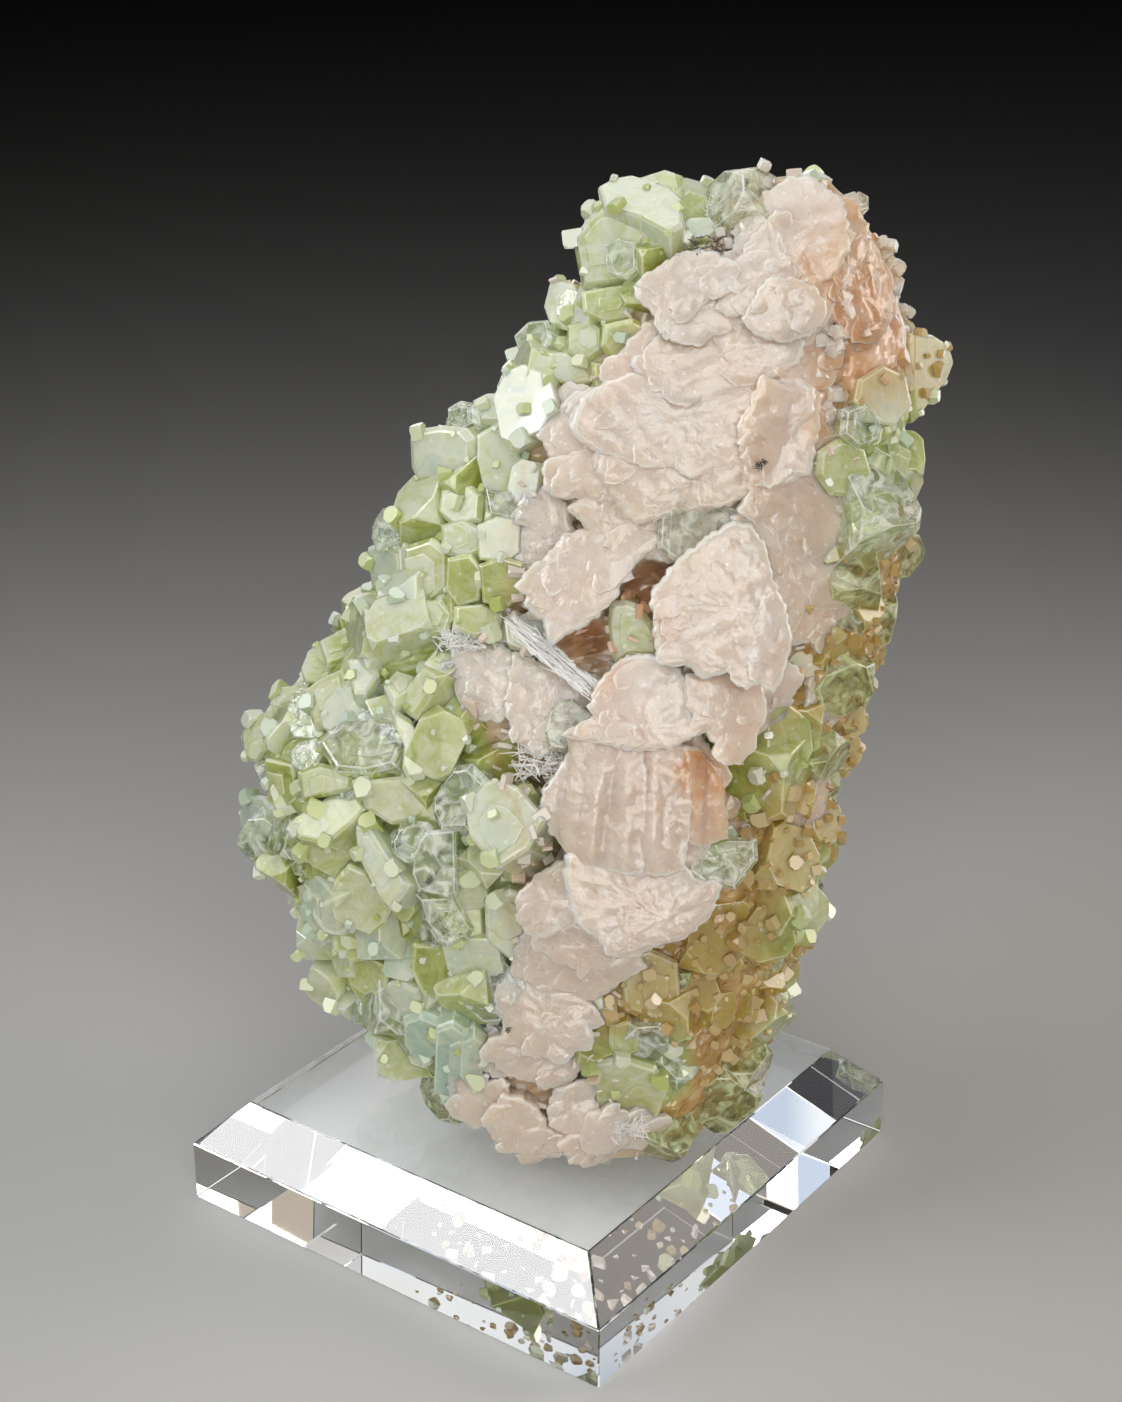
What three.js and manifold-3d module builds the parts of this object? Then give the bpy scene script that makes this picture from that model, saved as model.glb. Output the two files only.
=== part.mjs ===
// Green apophyllite with cream stilbite on matrix, fixed to a clear acrylic display block.
// Millimetres, +Z up. The origin is the centre of the block's underside.
import * as THREE from 'three';
import { ConvexGeometry } from 'three/addons/geometries/ConvexGeometry.js';
import { mergeVertices } from 'three/addons/utils/BufferGeometryUtils.js';
import Module from 'manifold-3d';

const wasm = await Module();
wasm.setup();

// Driving dimensions of the display block
const blockWidth = 97.4;
const blockDepth = 100;
const blockWall = 12.4;       // height of the upright sides
const blockHeight = 20.9;
const bevelInset = 8.2;       // how far the sloping bevel comes in from each side

// Driving dimensions of the specimen
const gap = 0.3;              // between the specimen's flat foot and the block
const specimenTurn = 36.4;    // degrees, about the block's upright axis
const fullness = 2.3;         // 2 makes each level an ellipse, more makes it squarer
const pointsAround = 20;
const largeCrystal = 8.5;     // width above which a crystal's corners are cut
const footLevel = blockHeight + gap;

// The matrix, level by level: up, left, right, crest, front, rear, middle.
// Left, right and crest are measured across; front and rear are depths from the middle line at the crest.
const matrixLevels = [
  [16, -11, 29, 11, 26, 16, -3],
  [26, -16, 34, 13, 28, 19, -2],
  [40, -35, 42, 17, 29, 24, 0],
  [56, -44, 47, 21, 30, 27, 1],
  [74, -50, 51, 24, 31, 28, 2],
  [92, -52, 54, 28, 31, 28, 3],
  [106, -42, 58, 34, 29, 28, 4],
  [122, -30, 61, 40, 27, 26, 5],
  [140, -19, 64, 45, 25, 24, 7],
  [158, -5, 63, 48, 23, 21, 7],
  [174, 6, 61, 48, 18, 16, 7],
  [186, 13, 57, 45, 12, 11, 6],
  [193, 36, 52, 43, 6, 6, 6],
];

// Apophyllite crystals, square prisms with cut corners. Each row: across, up, proud of the matrix,
// width, breadth, length, then how its end face looks: yaw to the right, pitch upwards, spin.
const apophyllites = [
  // summit and upper left edge
  [15, 191, 8, 19, 16, 24, -20, 55, 25], [24, 191, 4, 8, 7, 10, 10, 50, 10],
  [11, 177, 7, 13, 11, 12, -15, 35, 15],
  [19, 184, 5, 10, 9, 11, 5, 40, 30], [3, 175, 4, 7, 7, 11, -45, 30, 0],
  [-3, 165, 4, 8, 10, 13, -50, 20, 10], [0, 170, 4, 7, 7, 10, -40, 40, 20],
  [5, 170, 4, 10, 10, 10, -20, 30, 10],
  [10, 168, 4, 9, 9, 9, 0, 25, 15], [-8, 155, 6, 11, 6, 13, -30, 62, 5],
  [-15, 154, 4, 7, 5, 12, -55, 30, 0], [-19, 147, 7, 12, 10, 16, -30, 15, 5],
  [-8, 150, 4, 6, 11, 10, -10, 20, 10], [-3, 154, 4, 6, 9, 9, 5, 25, -15],
  [-22, 138, 4, 8, 8, 12, -45, 20, 30], [-29, 134, 4, 7, 6, 13, -55, 35, 20],
  [-29, 127, 5, 9, 10, 13, -40, 10, 15], [-22, 129, 5, 10, 12, 11, -20, 15, 5],
  [-15, 137, 5, 9, 8, 10, -10, 25, 10], [-8, 131, 4, 9, 9, 9, 0, 20, 5],
  [-8, 138, 5, 8, 8, 10, 5, 25, 0], [-28, 122, 4, 8, 6, 10, -30, 25, -10],
  [-16, 143, 4, 7, 7, 9, -30, 30, 25],
  [-29, 118, 4, 11, 6, 9, -25, 40, 15],
  // the rounded lobe on the left
  [-40, 107, 5, 11, 7, 12, -30, 55, 10], [-45, 101, 4, 9, 8, 12, -55, 40, 0],
  [-52, 94, 4, 10, 10, 14, -60, 20, 10], [-50, 87, 5, 9, 10, 12, -45, 10, 30],
  [-32, 112, 5, 9, 6, 12, -15, 60, -15], [-26, 111, 4, 7, 6, 10, 5, 50, -25],
  [-22, 112, 7, 11, 8, 13, 10, 40, 25], [-24, 102, 7, 9, 13, 12, 5, 15, 10],
  [-43, 96, 5, 8, 8, 10, -30, 10, 20], [-31, 101, 5, 10, 10, 10, -15, 15, 25],
  [-38, 104, 4, 9, 8, 9, -25, 30, 5], [-54, 77, 4, 8, 9, 12, -65, 5, 10],
  [-39, 88, 6, 14, 13, 13, -20, 20, 15], [-46, 91, 4, 9, 11, 11, -40, 15, 20],
  [-27, 93, 5, 12, 10, 10, 0, 10, 0], [-7, 90, 10, 13, 19, 18, -8, 28, 28],
  [-17, 94, 6, 10, 14, 12, -20, 25, 10], [-51, 71, 4, 8, 7, 11, -60, 15, 0],
  [-49, 65, 4, 9, 6, 11, -60, -10, 15], [-31, 80, 7, 8, 17, 13, -15, 15, 38],
  [-23, 88, 8, 8, 7, 12, 0, 30, 20], [-18, 84, 9, 8, 11, 14, -5, 20, -5],
  [-16, 73, 8, 10, 11, 13, 5, 10, 25], [-35, 71, 6, 12, 13, 12, -20, 0, 20],
  [-38, 79, 5, 10, 11, 10, -25, 5, -15],
  // under the lobe and down to the foot
  [-36, 62, 5, 9, 9, 11, -35, -5, 0], [-33, 52, 4, 8, 6, 10, -30, -20, 20],
  [-29, 46, 4, 9, 8, 10, -30, -25, 0], [-35, 43, 3, 7, 6, 10, -45, -25, 0],
  [-16, 58, 4, 12, 11, 10, 0, 0, 5], [-13, 50, 4, 10, 9, 9, 5, -10, 30],
  [-5, 71, 4, 10, 11, 9, 10, 10, 15],
  [-25, 63, 5, 9, 9, 9, -10, 5, 30], [-21, 37, 5, 4, 13, 9, -10, -20, 12],
  [-16, 36, 6, 4, 14, 9, -5, -20, 8], [-12, 41, 5, 5, 13, 9, 5, -15, 4],
  [14, 48, 4, 7, 8, 9, 0, 10, 10],
  [7, 61, 3, 10, 7, 8, 0, 15, 20], [14, 37, 4, 11, 9, 8, 5, -5, 0], [22, 38, 4, 10, 9, 8, 20, -5, 10],
  // among the stilbite
  [31, 84, 4, 13, 9, 8, 5, 15, -15], [16, 124, 7, 9, 12, 13, 0, 30, 5], [5, 109, 4, 10, 8, 8, 0, 25, -15],
  // right-hand side
  [42, 105, 5, 7, 20, 9, 30, 10, 5], [52, 70, 5, 9, 10, 12, 60, 0, 0], [51, 82, 4, 8, 8, 10, 50, 15, 20],
  [46, 43, 4, 8, 11, 11, 60, -10, -15], [51, 61, 3, 6, 6, 9, 65, -5, 20],
  [68, 162, 5, 9, 11, 16, 55, 10, 10], [63, 144, 4, 8, 9, 11, 60, 5, 0], [56, 152, 4, 9, 8, 9, 30, 15, 10],
  [53, 158, 4, 9, 9, 9, 25, 20, 20], [60, 158, 4, 8, 10, 10, 45, 15, -10], [54, 194, 3, 4, 5, 9, 40, 60, 0],
  [55, 187, 3, 5, 8, 10, 60, 30, 0],
];

// Stilbite plates, lens-shaped with scalloped rims. Each row: across, up, proud, width, height, thickness,
// yaw, pitch, spin.
const stilbitePlates = [
  // the pale peak and the plates below it
  [42, 190, 5, 19, 21, 9, -15, 32, 0], [49, 188, 4, 13, 18, 8, 12, 30, -20], [36, 187, 4, 9, 15, 8, -25, 30, 15],
  [42, 178, 6, 17, 12, 6, 0, 35, 20], [22, 180, 7, 18, 14, 6, -10, 25, 32], [31, 186, 4, 12, 12, 6, 5, 30, 0],
  // the broad smooth band across the middle
  [24, 168, 5, 31, 20, 9, -8, 25, 30], [32, 160, 6, 33, 21, 10, -5, 25, 22], [41, 170, 5, 18, 17, 8, 5, 25, 20],
  [13, 160, 5, 25, 18, 8, -12, 25, 15], [2, 160, 5, 13, 13, 6, -15, 25, 30], [8, 149, 6, 25, 18, 7, -8, 20, 5],
  [24, 149, 6, 26, 16, 7, 0, 20, 10], [38, 150, 5, 19, 19, 7, 12, 15, 15],
  [26, 141, 3, 19, 12, 6, 0, 20, 10], [45, 134, 4, 14, 20, 6, 25, 10, 0], [39, 139, 7, 3, 16, 9, 20, 20, -5],
  // the leaf blade, the broad plate and the white fibrous blade
  [9, 135, 10, 27, 14, 6, -5, 33, 38], [31, 126, 12, 25, 26, 7, 5, 25, 10], [2, 121, 9, 22, 5, 6, -5, 40, -34],
  // grey plates between the lobe and the sheaf
  [-9, 112, 5, 13, 14, 6, -5, 25, 15], [-4, 107, 5, 12, 14, 6, 0, 20, -10], [0, 114, 6, 12, 11, 6, 5, 30, -30],
  [-14, 102, 4, 12, 11, 6, -10, 15, 0],
  // the two plates on top of the sheaf and the plates under it
  [17, 113, 13, 18, 16, 9, -15, 32, 10], [32, 111, 12, 14, 18, 8, 20, 25, -10],
  [19, 78, 12, 24, 15, 9, 5, 5, 0], [0, 77, 9, 13, 12, 9, -20, 10, 0], [7, 68, 9, 17, 9, 8, -5, 0, 5],
  [28, 79, 8, 6, 7, 7, 30, 10, 0],
  // plates and nodules at the foot
  [0, 56, 7, 19, 19, 9, -8, 15, -20], [-6, 34, 8, 17, 17, 11, -15, 5, 0], [7, 31, 7, 15, 17, 11, 0, 0, 0],
  [18, 29, 5, 13, 13, 9, 15, -5, 0], [-9, 45, 4, 12, 10, 8, -10, 5, 0],
  // peach ridges and granular patches on the right-hand side
  [51, 182, 4, 5, 15, 8, 15, 15, -5], [49, 173, 4, 5, 13, 8, 15, 10, 8], [59, 180, 3, 5, 13, 8, 50, 20, -10],
  [50, 128, 3, 12, 16, 6, 35, 5, 0], [49, 112, 3, 11, 14, 6, 40, 5, 0], [47, 94, 3, 12, 16, 6, 35, 5, 0],
  [36, 77, 5, 14, 15, 7, 20, 5, 0], [28, 60, 5, 15, 16, 7, 15, 0, 0], [33, 46, 4, 13, 13, 7, 30, -10, 0],
];

// The central sheaf: upright ribs side by side. Each row: across, proud, height, yaw.
const sheafMiddle = 97;
const ribWidth = 10;
const ribDepth = 12;
const sheafRibs = [
  [4, 8, 24, -35], [10, 11, 30, -20], [16.5, 13, 33, -7], [23, 13, 33, 6], [29, 9, 29, 22],
];

// Crystals and plates scattered over the sides and back
const scatterSeed = 41;
const goldenShare = 0.618;    // spreads the pieces evenly from side to side
const backPieces = 24;

function seededRandom(seed) {
  let state = seed;
  return () => {
    state = (state + 0x6d2b79f5) | 0;
    let t = Math.imul(state ^ (state >>> 15), 1 | state);
    t = (t + Math.imul(t ^ (t >>> 7), 61 | t)) ^ t;
    return ((t ^ (t >>> 14)) >>> 0) / 4294967296;
  };
}

// The matrix's measures at any height, between the two nearest levels
function matrixLevel(up) {
  const above = matrixLevels.findIndex((row) => row[0] > up);
  if (above === 0) return matrixLevels[0];
  if (above < 0) return matrixLevels[matrixLevels.length - 1];
  const [low, high] = [matrixLevels[above - 1], matrixLevels[above]];
  const t = (up - low[0]) / (high[0] - low[0]);
  return low.map((value, i) => value + (high[i] - value) * t);
}

// Depth of the matrix's surface: side -1 is the front, 1 the rear
function surfaceDepth(across, up, side) {
  const [, left, right, crest, front, rear, middle] = matrixLevel(up);
  const reach = across > crest ? right - crest : crest - left;
  const share = Math.min(Math.abs(across - crest) / reach, 1);
  const depth = (side < 0 ? front : rear) * (1 - share ** fullness) ** (1 / fullness);
  return middle + side * depth;
}

function toSolid(geometry) {
  const bare = geometry.clone();
  bare.deleteAttribute('normal');
  bare.deleteAttribute('uv');
  const merged = mergeVertices(bare, 1e-4);
  const triangles = merged.index ?? [...Array(merged.attributes.position.count).keys()];
  return new wasm.Manifold(new wasm.Mesh({
    numProp: 3,
    vertProperties: new Float32Array(merged.attributes.position.array),
    triVerts: new Uint32Array(triangles.array ?? triangles),
  }));
}

function toGeometry(solid) {
  const { vertProperties, triVerts } = solid.getMesh();
  const geometry = new THREE.BufferGeometry();
  geometry.setAttribute('position', new THREE.BufferAttribute(new Float32Array(vertProperties), 3));
  geometry.setIndex(new THREE.BufferAttribute(new Uint32Array(triVerts), 1));
  geometry.computeVertexNormals();
  return geometry;
}

// A closed, slightly uneven lump that follows the level table
function matrixGeometry() {
  const random = seededRandom(scatterSeed);
  const points = [];
  for (const [up, left, right, crest, front, rear, middle] of matrixLevels) {
    for (let i = 0; i < pointsAround; i++) {
      const angle = (2 * Math.PI * i) / pointsAround;
      const [c, s] = [Math.cos(angle), Math.sin(angle)];
      const size = 0.95 + 0.06 * random();
      const acrossReach = c > 0 ? right - crest : crest - left;
      const depthReach = s > 0 ? rear : front;
      points.push(
        crest + size * acrossReach * Math.sign(c) * Math.abs(c) ** (2 / fullness),
        middle + size * depthReach * Math.sign(s) * Math.abs(s) ** (2 / fullness),
        up,
      );
    }
  }
  const index = [];
  const last = (matrixLevels.length - 1) * pointsAround;
  for (let row = 0; row < last; row += pointsAround) {
    for (let i = 0; i < pointsAround; i++) {
      const next = (i + 1) % pointsAround;
      index.push(row + i, row + next, row + pointsAround + next);
      index.push(row + i, row + pointsAround + next, row + pointsAround + i);
    }
  }
  for (let i = 1; i < pointsAround - 1; i++) {
    index.push(0, i + 1, i);
    index.push(last, last + i, last + i + 1);
  }
  const geometry = new THREE.BufferGeometry();
  geometry.setAttribute('position', new THREE.Float32BufferAttribute(points, 3));
  geometry.setIndex(index);
  return geometry;
}

// A square prism whose end face lies at z = 0. The larger ones have their four end corners cut.
function crystalGeometry(width, breadth, length) {
  const smaller = Math.min(width, breadth);
  const cut = smaller < largeCrystal ? 0 : 0.27 * smaller;
  const points = [];
  for (const sx of [-1, 1]) {
    for (const sy of [-1, 1]) {
      const [x, y] = [(sx * width) / 2, (sy * breadth) / 2];
      points.push(new THREE.Vector3(x, y, -length));
      if (cut > 0) {
        points.push(new THREE.Vector3(x, y, -1.1 * cut));
        points.push(new THREE.Vector3(x - sx * cut, y, 0), new THREE.Vector3(x, y - sy * cut, 0));
      } else {
        points.push(new THREE.Vector3(0.94 * x, 0.94 * y, sx * sy * 0.08 * smaller));
      }
    }
  }
  return new ConvexGeometry(points);
}

// A lens with a scalloped rim, its face towards +Z and its middle at z = 0
function plateGeometry(width, height, thickness, random) {
  const rimPoints = 9;
  const bevel = 0.3 * Math.min(width, height) / 2;
  const outline = [];
  for (let i = 0; i < rimPoints; i++) {
    const angle = (2 * Math.PI * (i + 0.3 * random())) / rimPoints;
    const scallop = 0.9 + 0.16 * random();
    outline.push(new THREE.Vector2(
      scallop * (width / 2 - bevel) * Math.cos(angle),
      scallop * (height / 2 - bevel) * Math.sin(angle),
    ));
  }
  const geometry = new THREE.ExtrudeGeometry(new THREE.Shape(outline), {
    depth: 0.3 * thickness,
    bevelThickness: 0.35 * thickness,
    bevelSize: bevel,
    bevelSegments: 1,
    steps: 1,
    curveSegments: 1,
  });
  geometry.translate(0, 0, -0.15 * thickness);
  return geometry;
}

// Moves a geometry so that its +Z looks along the given yaw and pitch from the given point
function aim(geometry, point, yaw, pitch, spin) {
  const [y, p, s] = [yaw, pitch, spin].map(THREE.MathUtils.degToRad);
  const outward = new THREE.Vector3(Math.sin(y) * Math.cos(p), -Math.cos(y) * Math.cos(p), Math.sin(p));
  const rightward = new THREE.Vector3(Math.cos(y), Math.sin(y), 0);
  const upward = new THREE.Vector3().crossVectors(outward, rightward);
  const turn = new THREE.Matrix4().makeBasis(rightward, upward, outward);
  geometry.applyMatrix4(turn.multiply(new THREE.Matrix4().makeRotationZ(s)));
  return geometry.translate(point.x, point.y, point.z);
}

function frontPoint(across, up, proud) {
  return new THREE.Vector3(across, surfaceDepth(across, up, -1) - proud, up);
}

function frontCrystals() {
  return apophyllites.map(([across, up, proud, width, breadth, length, yaw, pitch, spin]) =>
    aim(crystalGeometry(width, breadth, length), frontPoint(across, up, proud), yaw, pitch, spin));
}

function frontPlates() {
  const random = seededRandom(scatterSeed + 1);
  return stilbitePlates.map(([across, up, proud, width, height, thickness, yaw, pitch, spin]) => {
    const plate = plateGeometry(width, height, 2 * thickness, random);
    const point = frontPoint(across, up, proud - thickness);
    return aim(plate, point, yaw, pitch, spin);
  });
}

function centralSheaf() {
  const random = seededRandom(scatterSeed + 2);
  return sheafRibs.map(([across, proud, height, yaw]) =>
    aim(plateGeometry(ribWidth, height, 2 * ribDepth, random),
      frontPoint(across, sheafMiddle, proud - ribDepth), yaw, 12, 0));
}

// Smaller crystals and plates that cover the rear, where they look straight out of the matrix
function rearGrowth() {
  const random = seededRandom(scatterSeed + 3);
  const pieces = [];
  for (let i = 0; i < backPieces; i++) {
    const up = 30 + 155 * ((i + random()) / backPieces);
    const [, left, right] = matrixLevel(up);
    const share = 0.13 + 0.74 * ((i * goldenShare) % 1);
    const across = left + (right - left) * share;
    const point = new THREE.Vector3(across, surfaceDepth(across, up, 1), up);
    const yaw = 180 - (share - 0.5) * 130 + 30 * (random() - 0.5);
    const pitch = -10 + 40 * random();
    const spin = 90 * random();
    const size = 6 + 5 * random();
    if (i % 4 === 1) {
      pieces.push(aim(plateGeometry(1.9 * size, 1.4 * size, 8, random), point, yaw, pitch, spin));
    } else {
      const crystal = crystalGeometry(size, size * (0.8 + 0.3 * random()), 12);
      pieces.push(aim(crystal.translate(0, 0, 3.5), point, yaw, pitch, spin));
    }
  }
  return pieces;
}

function specimenGeometry() {
  const growth = [...frontCrystals(), ...frontPlates(), ...centralSheaf(), ...rearGrowth()];
  let solid = toSolid(matrixGeometry());
  for (const piece of growth) solid = solid.add(toSolid(piece));
  const belowFoot = new THREE.BoxGeometry(300, 300, 100);
  belowFoot.translate(0, 0, footLevel - 50);
  solid = solid.subtract(toSolid(belowFoot));
  // Crystals can close round a small pocket, so only the outermost shell is kept
  const shells = solid.decompose().sort((a, b) => b.volume() - a.volume());
  return toGeometry(shells[0]);
}

function blockGeometry() {
  const points = [];
  for (const sx of [-1, 1]) {
    for (const sy of [-1, 1]) {
      const [x, y] = [(sx * blockWidth) / 2, (sy * blockDepth) / 2];
      points.push(new THREE.Vector3(x, y, 0), new THREE.Vector3(x, y, blockWall));
      points.push(new THREE.Vector3(x - sx * bevelInset, y - sy * bevelInset, blockHeight));
    }
  }
  return new ConvexGeometry(points);
}

const crystalFinish = new THREE.MeshStandardMaterial({ color: '#ccd0b4', roughness: 0.35, metalness: 0 });
const acrylicFinish = new THREE.MeshStandardMaterial({
  color: '#eef2f3', roughness: 0.03, metalness: 0, transparent: true, opacity: 0.35,
});

const cluster = new THREE.Mesh(specimenGeometry(), crystalFinish);
cluster.name = 'apophyllite_cluster';
const specimen = new THREE.Group();
specimen.rotation.z = THREE.MathUtils.degToRad(specimenTurn);
specimen.add(cluster);

const acrylicBase = new THREE.Mesh(blockGeometry(), acrylicFinish);
acrylicBase.name = 'acrylic_base';

const group = new THREE.Group();
group.add(acrylicBase, specimen);

export default group;
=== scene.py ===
# Green apophyllite with cream stilbite on a clear acrylic display block, for Blender 4.5.
# The specimen's sizes are in millimetres and turned into metres where each mesh is made.
# The camera and the lights are in metres.
import math
import random

import bmesh
import bpy
from mathutils import Matrix, Vector, noise


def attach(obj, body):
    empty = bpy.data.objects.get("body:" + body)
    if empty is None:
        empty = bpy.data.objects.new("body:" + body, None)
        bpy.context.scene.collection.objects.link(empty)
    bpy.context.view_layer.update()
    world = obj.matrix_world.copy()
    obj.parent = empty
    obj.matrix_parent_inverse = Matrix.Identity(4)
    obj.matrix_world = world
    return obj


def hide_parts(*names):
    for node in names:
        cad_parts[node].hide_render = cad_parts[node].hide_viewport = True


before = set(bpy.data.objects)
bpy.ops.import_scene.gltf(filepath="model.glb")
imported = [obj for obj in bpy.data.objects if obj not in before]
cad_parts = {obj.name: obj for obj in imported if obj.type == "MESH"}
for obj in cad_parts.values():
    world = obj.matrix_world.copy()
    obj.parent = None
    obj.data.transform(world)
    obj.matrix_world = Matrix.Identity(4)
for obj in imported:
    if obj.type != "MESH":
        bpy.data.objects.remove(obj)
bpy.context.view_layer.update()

mm = 0.001
turnDegrees = 36.4            # the specimen's broad front against the block's sides
floorGap = 0.2                # keeps the block's underside just off the floor
nearZero = 1e-4

camera = {
    "place": (0.2458, -0.3288, 0.2783), "pitch": 66.7, "turn": 36.36, "lens": 62.04, "sensor": 36,
}


# Small helpers

def hexColor(text):
    parts = [int(text[i:i + 2], 16) / 255 for i in (1, 3, 5)]
    linear = [c / 12.92 if c <= 0.04045 else ((c + 0.055) / 1.055) ** 2.4 for c in parts]
    return (*linear, 1.0)


def addNode(tree, kind, inputs=None, **settings):
    node = tree.nodes.new(kind)
    for name, value in settings.items():
        setattr(node, name, value)
    for key, value in (inputs or {}).items():
        if isinstance(value, bpy.types.NodeSocket):
            tree.links.new(value, node.inputs[key])
        else:
            node.inputs[key].default_value = value
    return node


def setRamp(node, stops):
    ramp = node.color_ramp
    while len(ramp.elements) < len(stops):
        ramp.elements.new(0.5)
    for element, (place, color) in zip(ramp.elements, stops):
        element.position = place
        element.color = hexColor(color)


def smoothStep(low, high, value):
    t = min(max((value - low) / (high - low), 0.0), 1.0)
    return t * t * (3 - 2 * t)


def signedPower(value, power):
    return math.copysign(abs(value) ** power, value)


# The scale that gives a pattern its real size in millimetres
def scaleOf(size):
    return 1 / (size * mm)


# The row at a height, worked out between the rows given
def between(rows, up):
    if up <= rows[0][0]:
        return rows[0]
    for low, high in zip(rows, rows[1:]):
        if up <= high[0]:
            t = (up - low[0]) / (high[0] - low[0])
            return tuple(a + (b - a) * t for a, b in zip(low, high))
    return rows[-1]


# The matrix and where its colours lie

matrixBody = {
    # up, left and right edge, crest, reach of the front and the rear from the middle, middle
    "levels": [
        (16, -11, 29, 11, 26, 16, -3), (26, -16, 34, 13, 28, 19, -2), (40, -35, 42, 17, 29, 24, 0),
        (56, -44, 47, 21, 30, 27, 1), (74, -50, 51, 24, 31, 28, 2), (92, -52, 54, 28, 31, 28, 3),
        (106, -42, 58, 34, 29, 28, 4), (122, -30, 61, 40, 27, 26, 5), (140, -19, 64, 45, 25, 24, 7),
        (158, -5, 63, 48, 23, 21, 7), (174, 6, 61, 48, 18, 16, 7), (186, 13, 57, 45, 12, 11, 6),
        (193, 36, 52, 43, 6, 6, 6), (197, 41, 47, 44, 2, 2, 6),
    ],
    "fullness": 2.3,              # 2 is an ellipse, more is fuller at the corners
    "foot": 21.2, "around": 190, "stepUp": 1.05,
    "fill": 2.6,                  # how far the front stands out to meet what grows on it
    "lumps": [(1.3, 0.09), (0.8, 0.24), (0.35, 0.7)],       # height and rate of each size of lump
    "cellHeight": 1.2, "cellRate": 0.2, "cellSink": 1.0,
    # up, then the left and right edges of the pale stilbite band on the front
    "paleBand": [
        (20, -14, 20), (30, -16, 14), (40, -12, 10), (52, -8, 8), (60, -4, 12), (68, -2, 20), (76, -6, 28),
        (84, -3, 33), (94, -3, 34), (106, -10, 38), (112, -14, 40), (120, -8, 42), (128, -5, 44),
        (136, -5, 48), (146, -3, 46), (156, -1, 46), (164, 6, 47), (172, 14, 49), (180, 20, 50),
        (188, 30, 52), (198, 34, 56),
    ],
    # across, up, radius and depth of the hollows between the growths
    "hollows": [(-1, 93, 5, 9), (6, 121, 6, 5), (17, 130, 5, 5), (-18, 107, 5, 5), (28, 106, 4, 3)],
    # across, up, radius of the rusty stain and of the green patches outside the main green area
    "rust": [(28, 104, 6), (56, 176, 13), (50, 186, 10), (47, 162, 7), (6, 122, 7), (17, 131, 7)],
    "greenPatches": [(58, 150, 15), (42, 104, 9), (17, 42, 12), (51, 70, 12), (46, 44, 9), (31, 85, 6)],
}


def surfaceDepth(across, up, side):
    _, left, right, crest, front, rear, middle = between(matrixBody["levels"], up)
    reach = right - crest if across > crest else crest - left
    share = min(abs(across - crest) / max(reach, 0.01), 1.0)
    full = matrixBody["fullness"]
    depth = (front if side < 0 else rear) * (1 - share ** full) ** (1 / full)
    return middle + side * depth


def frontPoint(across, up, proud):
    return Vector((across, surfaceDepth(across, up, -1) - proud, up))


# How much of the green, pale and rusty zones a point of the surface has, each from 0 to 1
def zoneWeights(point):
    across, depth, up = point
    _, _, _, crest, _, _, middle = between(matrixBody["levels"], up)
    _, left, right = between(matrixBody["paleBand"], up)
    wander = 3.0 * noise.noise(point * 0.11) + 1.5 * noise.noise(point * 0.31)
    atFront = smoothStep(middle + 3, middle - 5, depth)
    pale = atFront * smoothStep(left - 2, left + 2, across + wander)
    pale *= smoothStep(right + 3, right - 1, across + wander)
    green = smoothStep(left + 2, left - 2, across + wander)
    for x, z, radius in matrixBody["greenPatches"]:
        distance = math.hypot(across - x, up - z) + wander
        green = max(green, atFront * smoothStep(radius, radius - 4, distance))
    rust = 0.0
    for x, z, radius in matrixBody["rust"]:
        distance = math.hypot(across - x, up - z) + wander
        rust = max(rust, smoothStep(middle + 12, middle, depth) * smoothStep(radius, radius - 5, distance))
    if depth > middle:
        patch = noise.noise(Vector((across * 0.035, 7.0, up * 0.035)))
        green = max(green * smoothStep(middle + 26, middle + 4, depth), smoothStep(0.0, 0.25, patch))
        pale = max(pale, smoothStep(-0.05, -0.3, patch))
    return green, pale, rust


# How far a point stands out of the matrix body, in millimetres
def standsOut(point):
    across, depth, up = point
    _, left, right, crest, front, rear, middle = between(matrixBody["levels"], up)
    x = (across - crest) / max(right - crest if across > crest else crest - left, 1)
    y = (depth - middle) / max(rear if depth > middle else front, 1)
    full = matrixBody["fullness"]
    level = (abs(x) ** full + abs(y) ** full) ** (1 / full)
    return math.hypot(across - crest, depth - middle) * (1 - 1 / max(level, 0.05))


# From the specimen's own frame in millimetres to the object's in metres
def specimenMatrix():
    return Matrix.Rotation(math.radians(turnDegrees), 4, "Z") @ Matrix.Scale(mm, 4)


def surfaceNormal(across, up, side):
    step = 1.5
    slopeX = (surfaceDepth(across + step, up, side) - surfaceDepth(across - step, up, side)) / (2 * step)
    slopeZ = (surfaceDepth(across, up + step, side) - surfaceDepth(across, up - step, side)) / (2 * step)
    return (Vector((slopeX, -1, slopeZ)) * -side).normalized()


def makeObject(name, points, faces, material):
    mesh = bpy.data.meshes.new(name)
    mesh.from_pydata(points, [], faces)
    mesh.materials.append(material)
    thing = bpy.data.objects.new(name, mesh)
    bpy.context.scene.collection.objects.link(thing)
    return thing


matrixTint = 3.0                  # the tint that tells the matrix from its crystals


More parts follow.
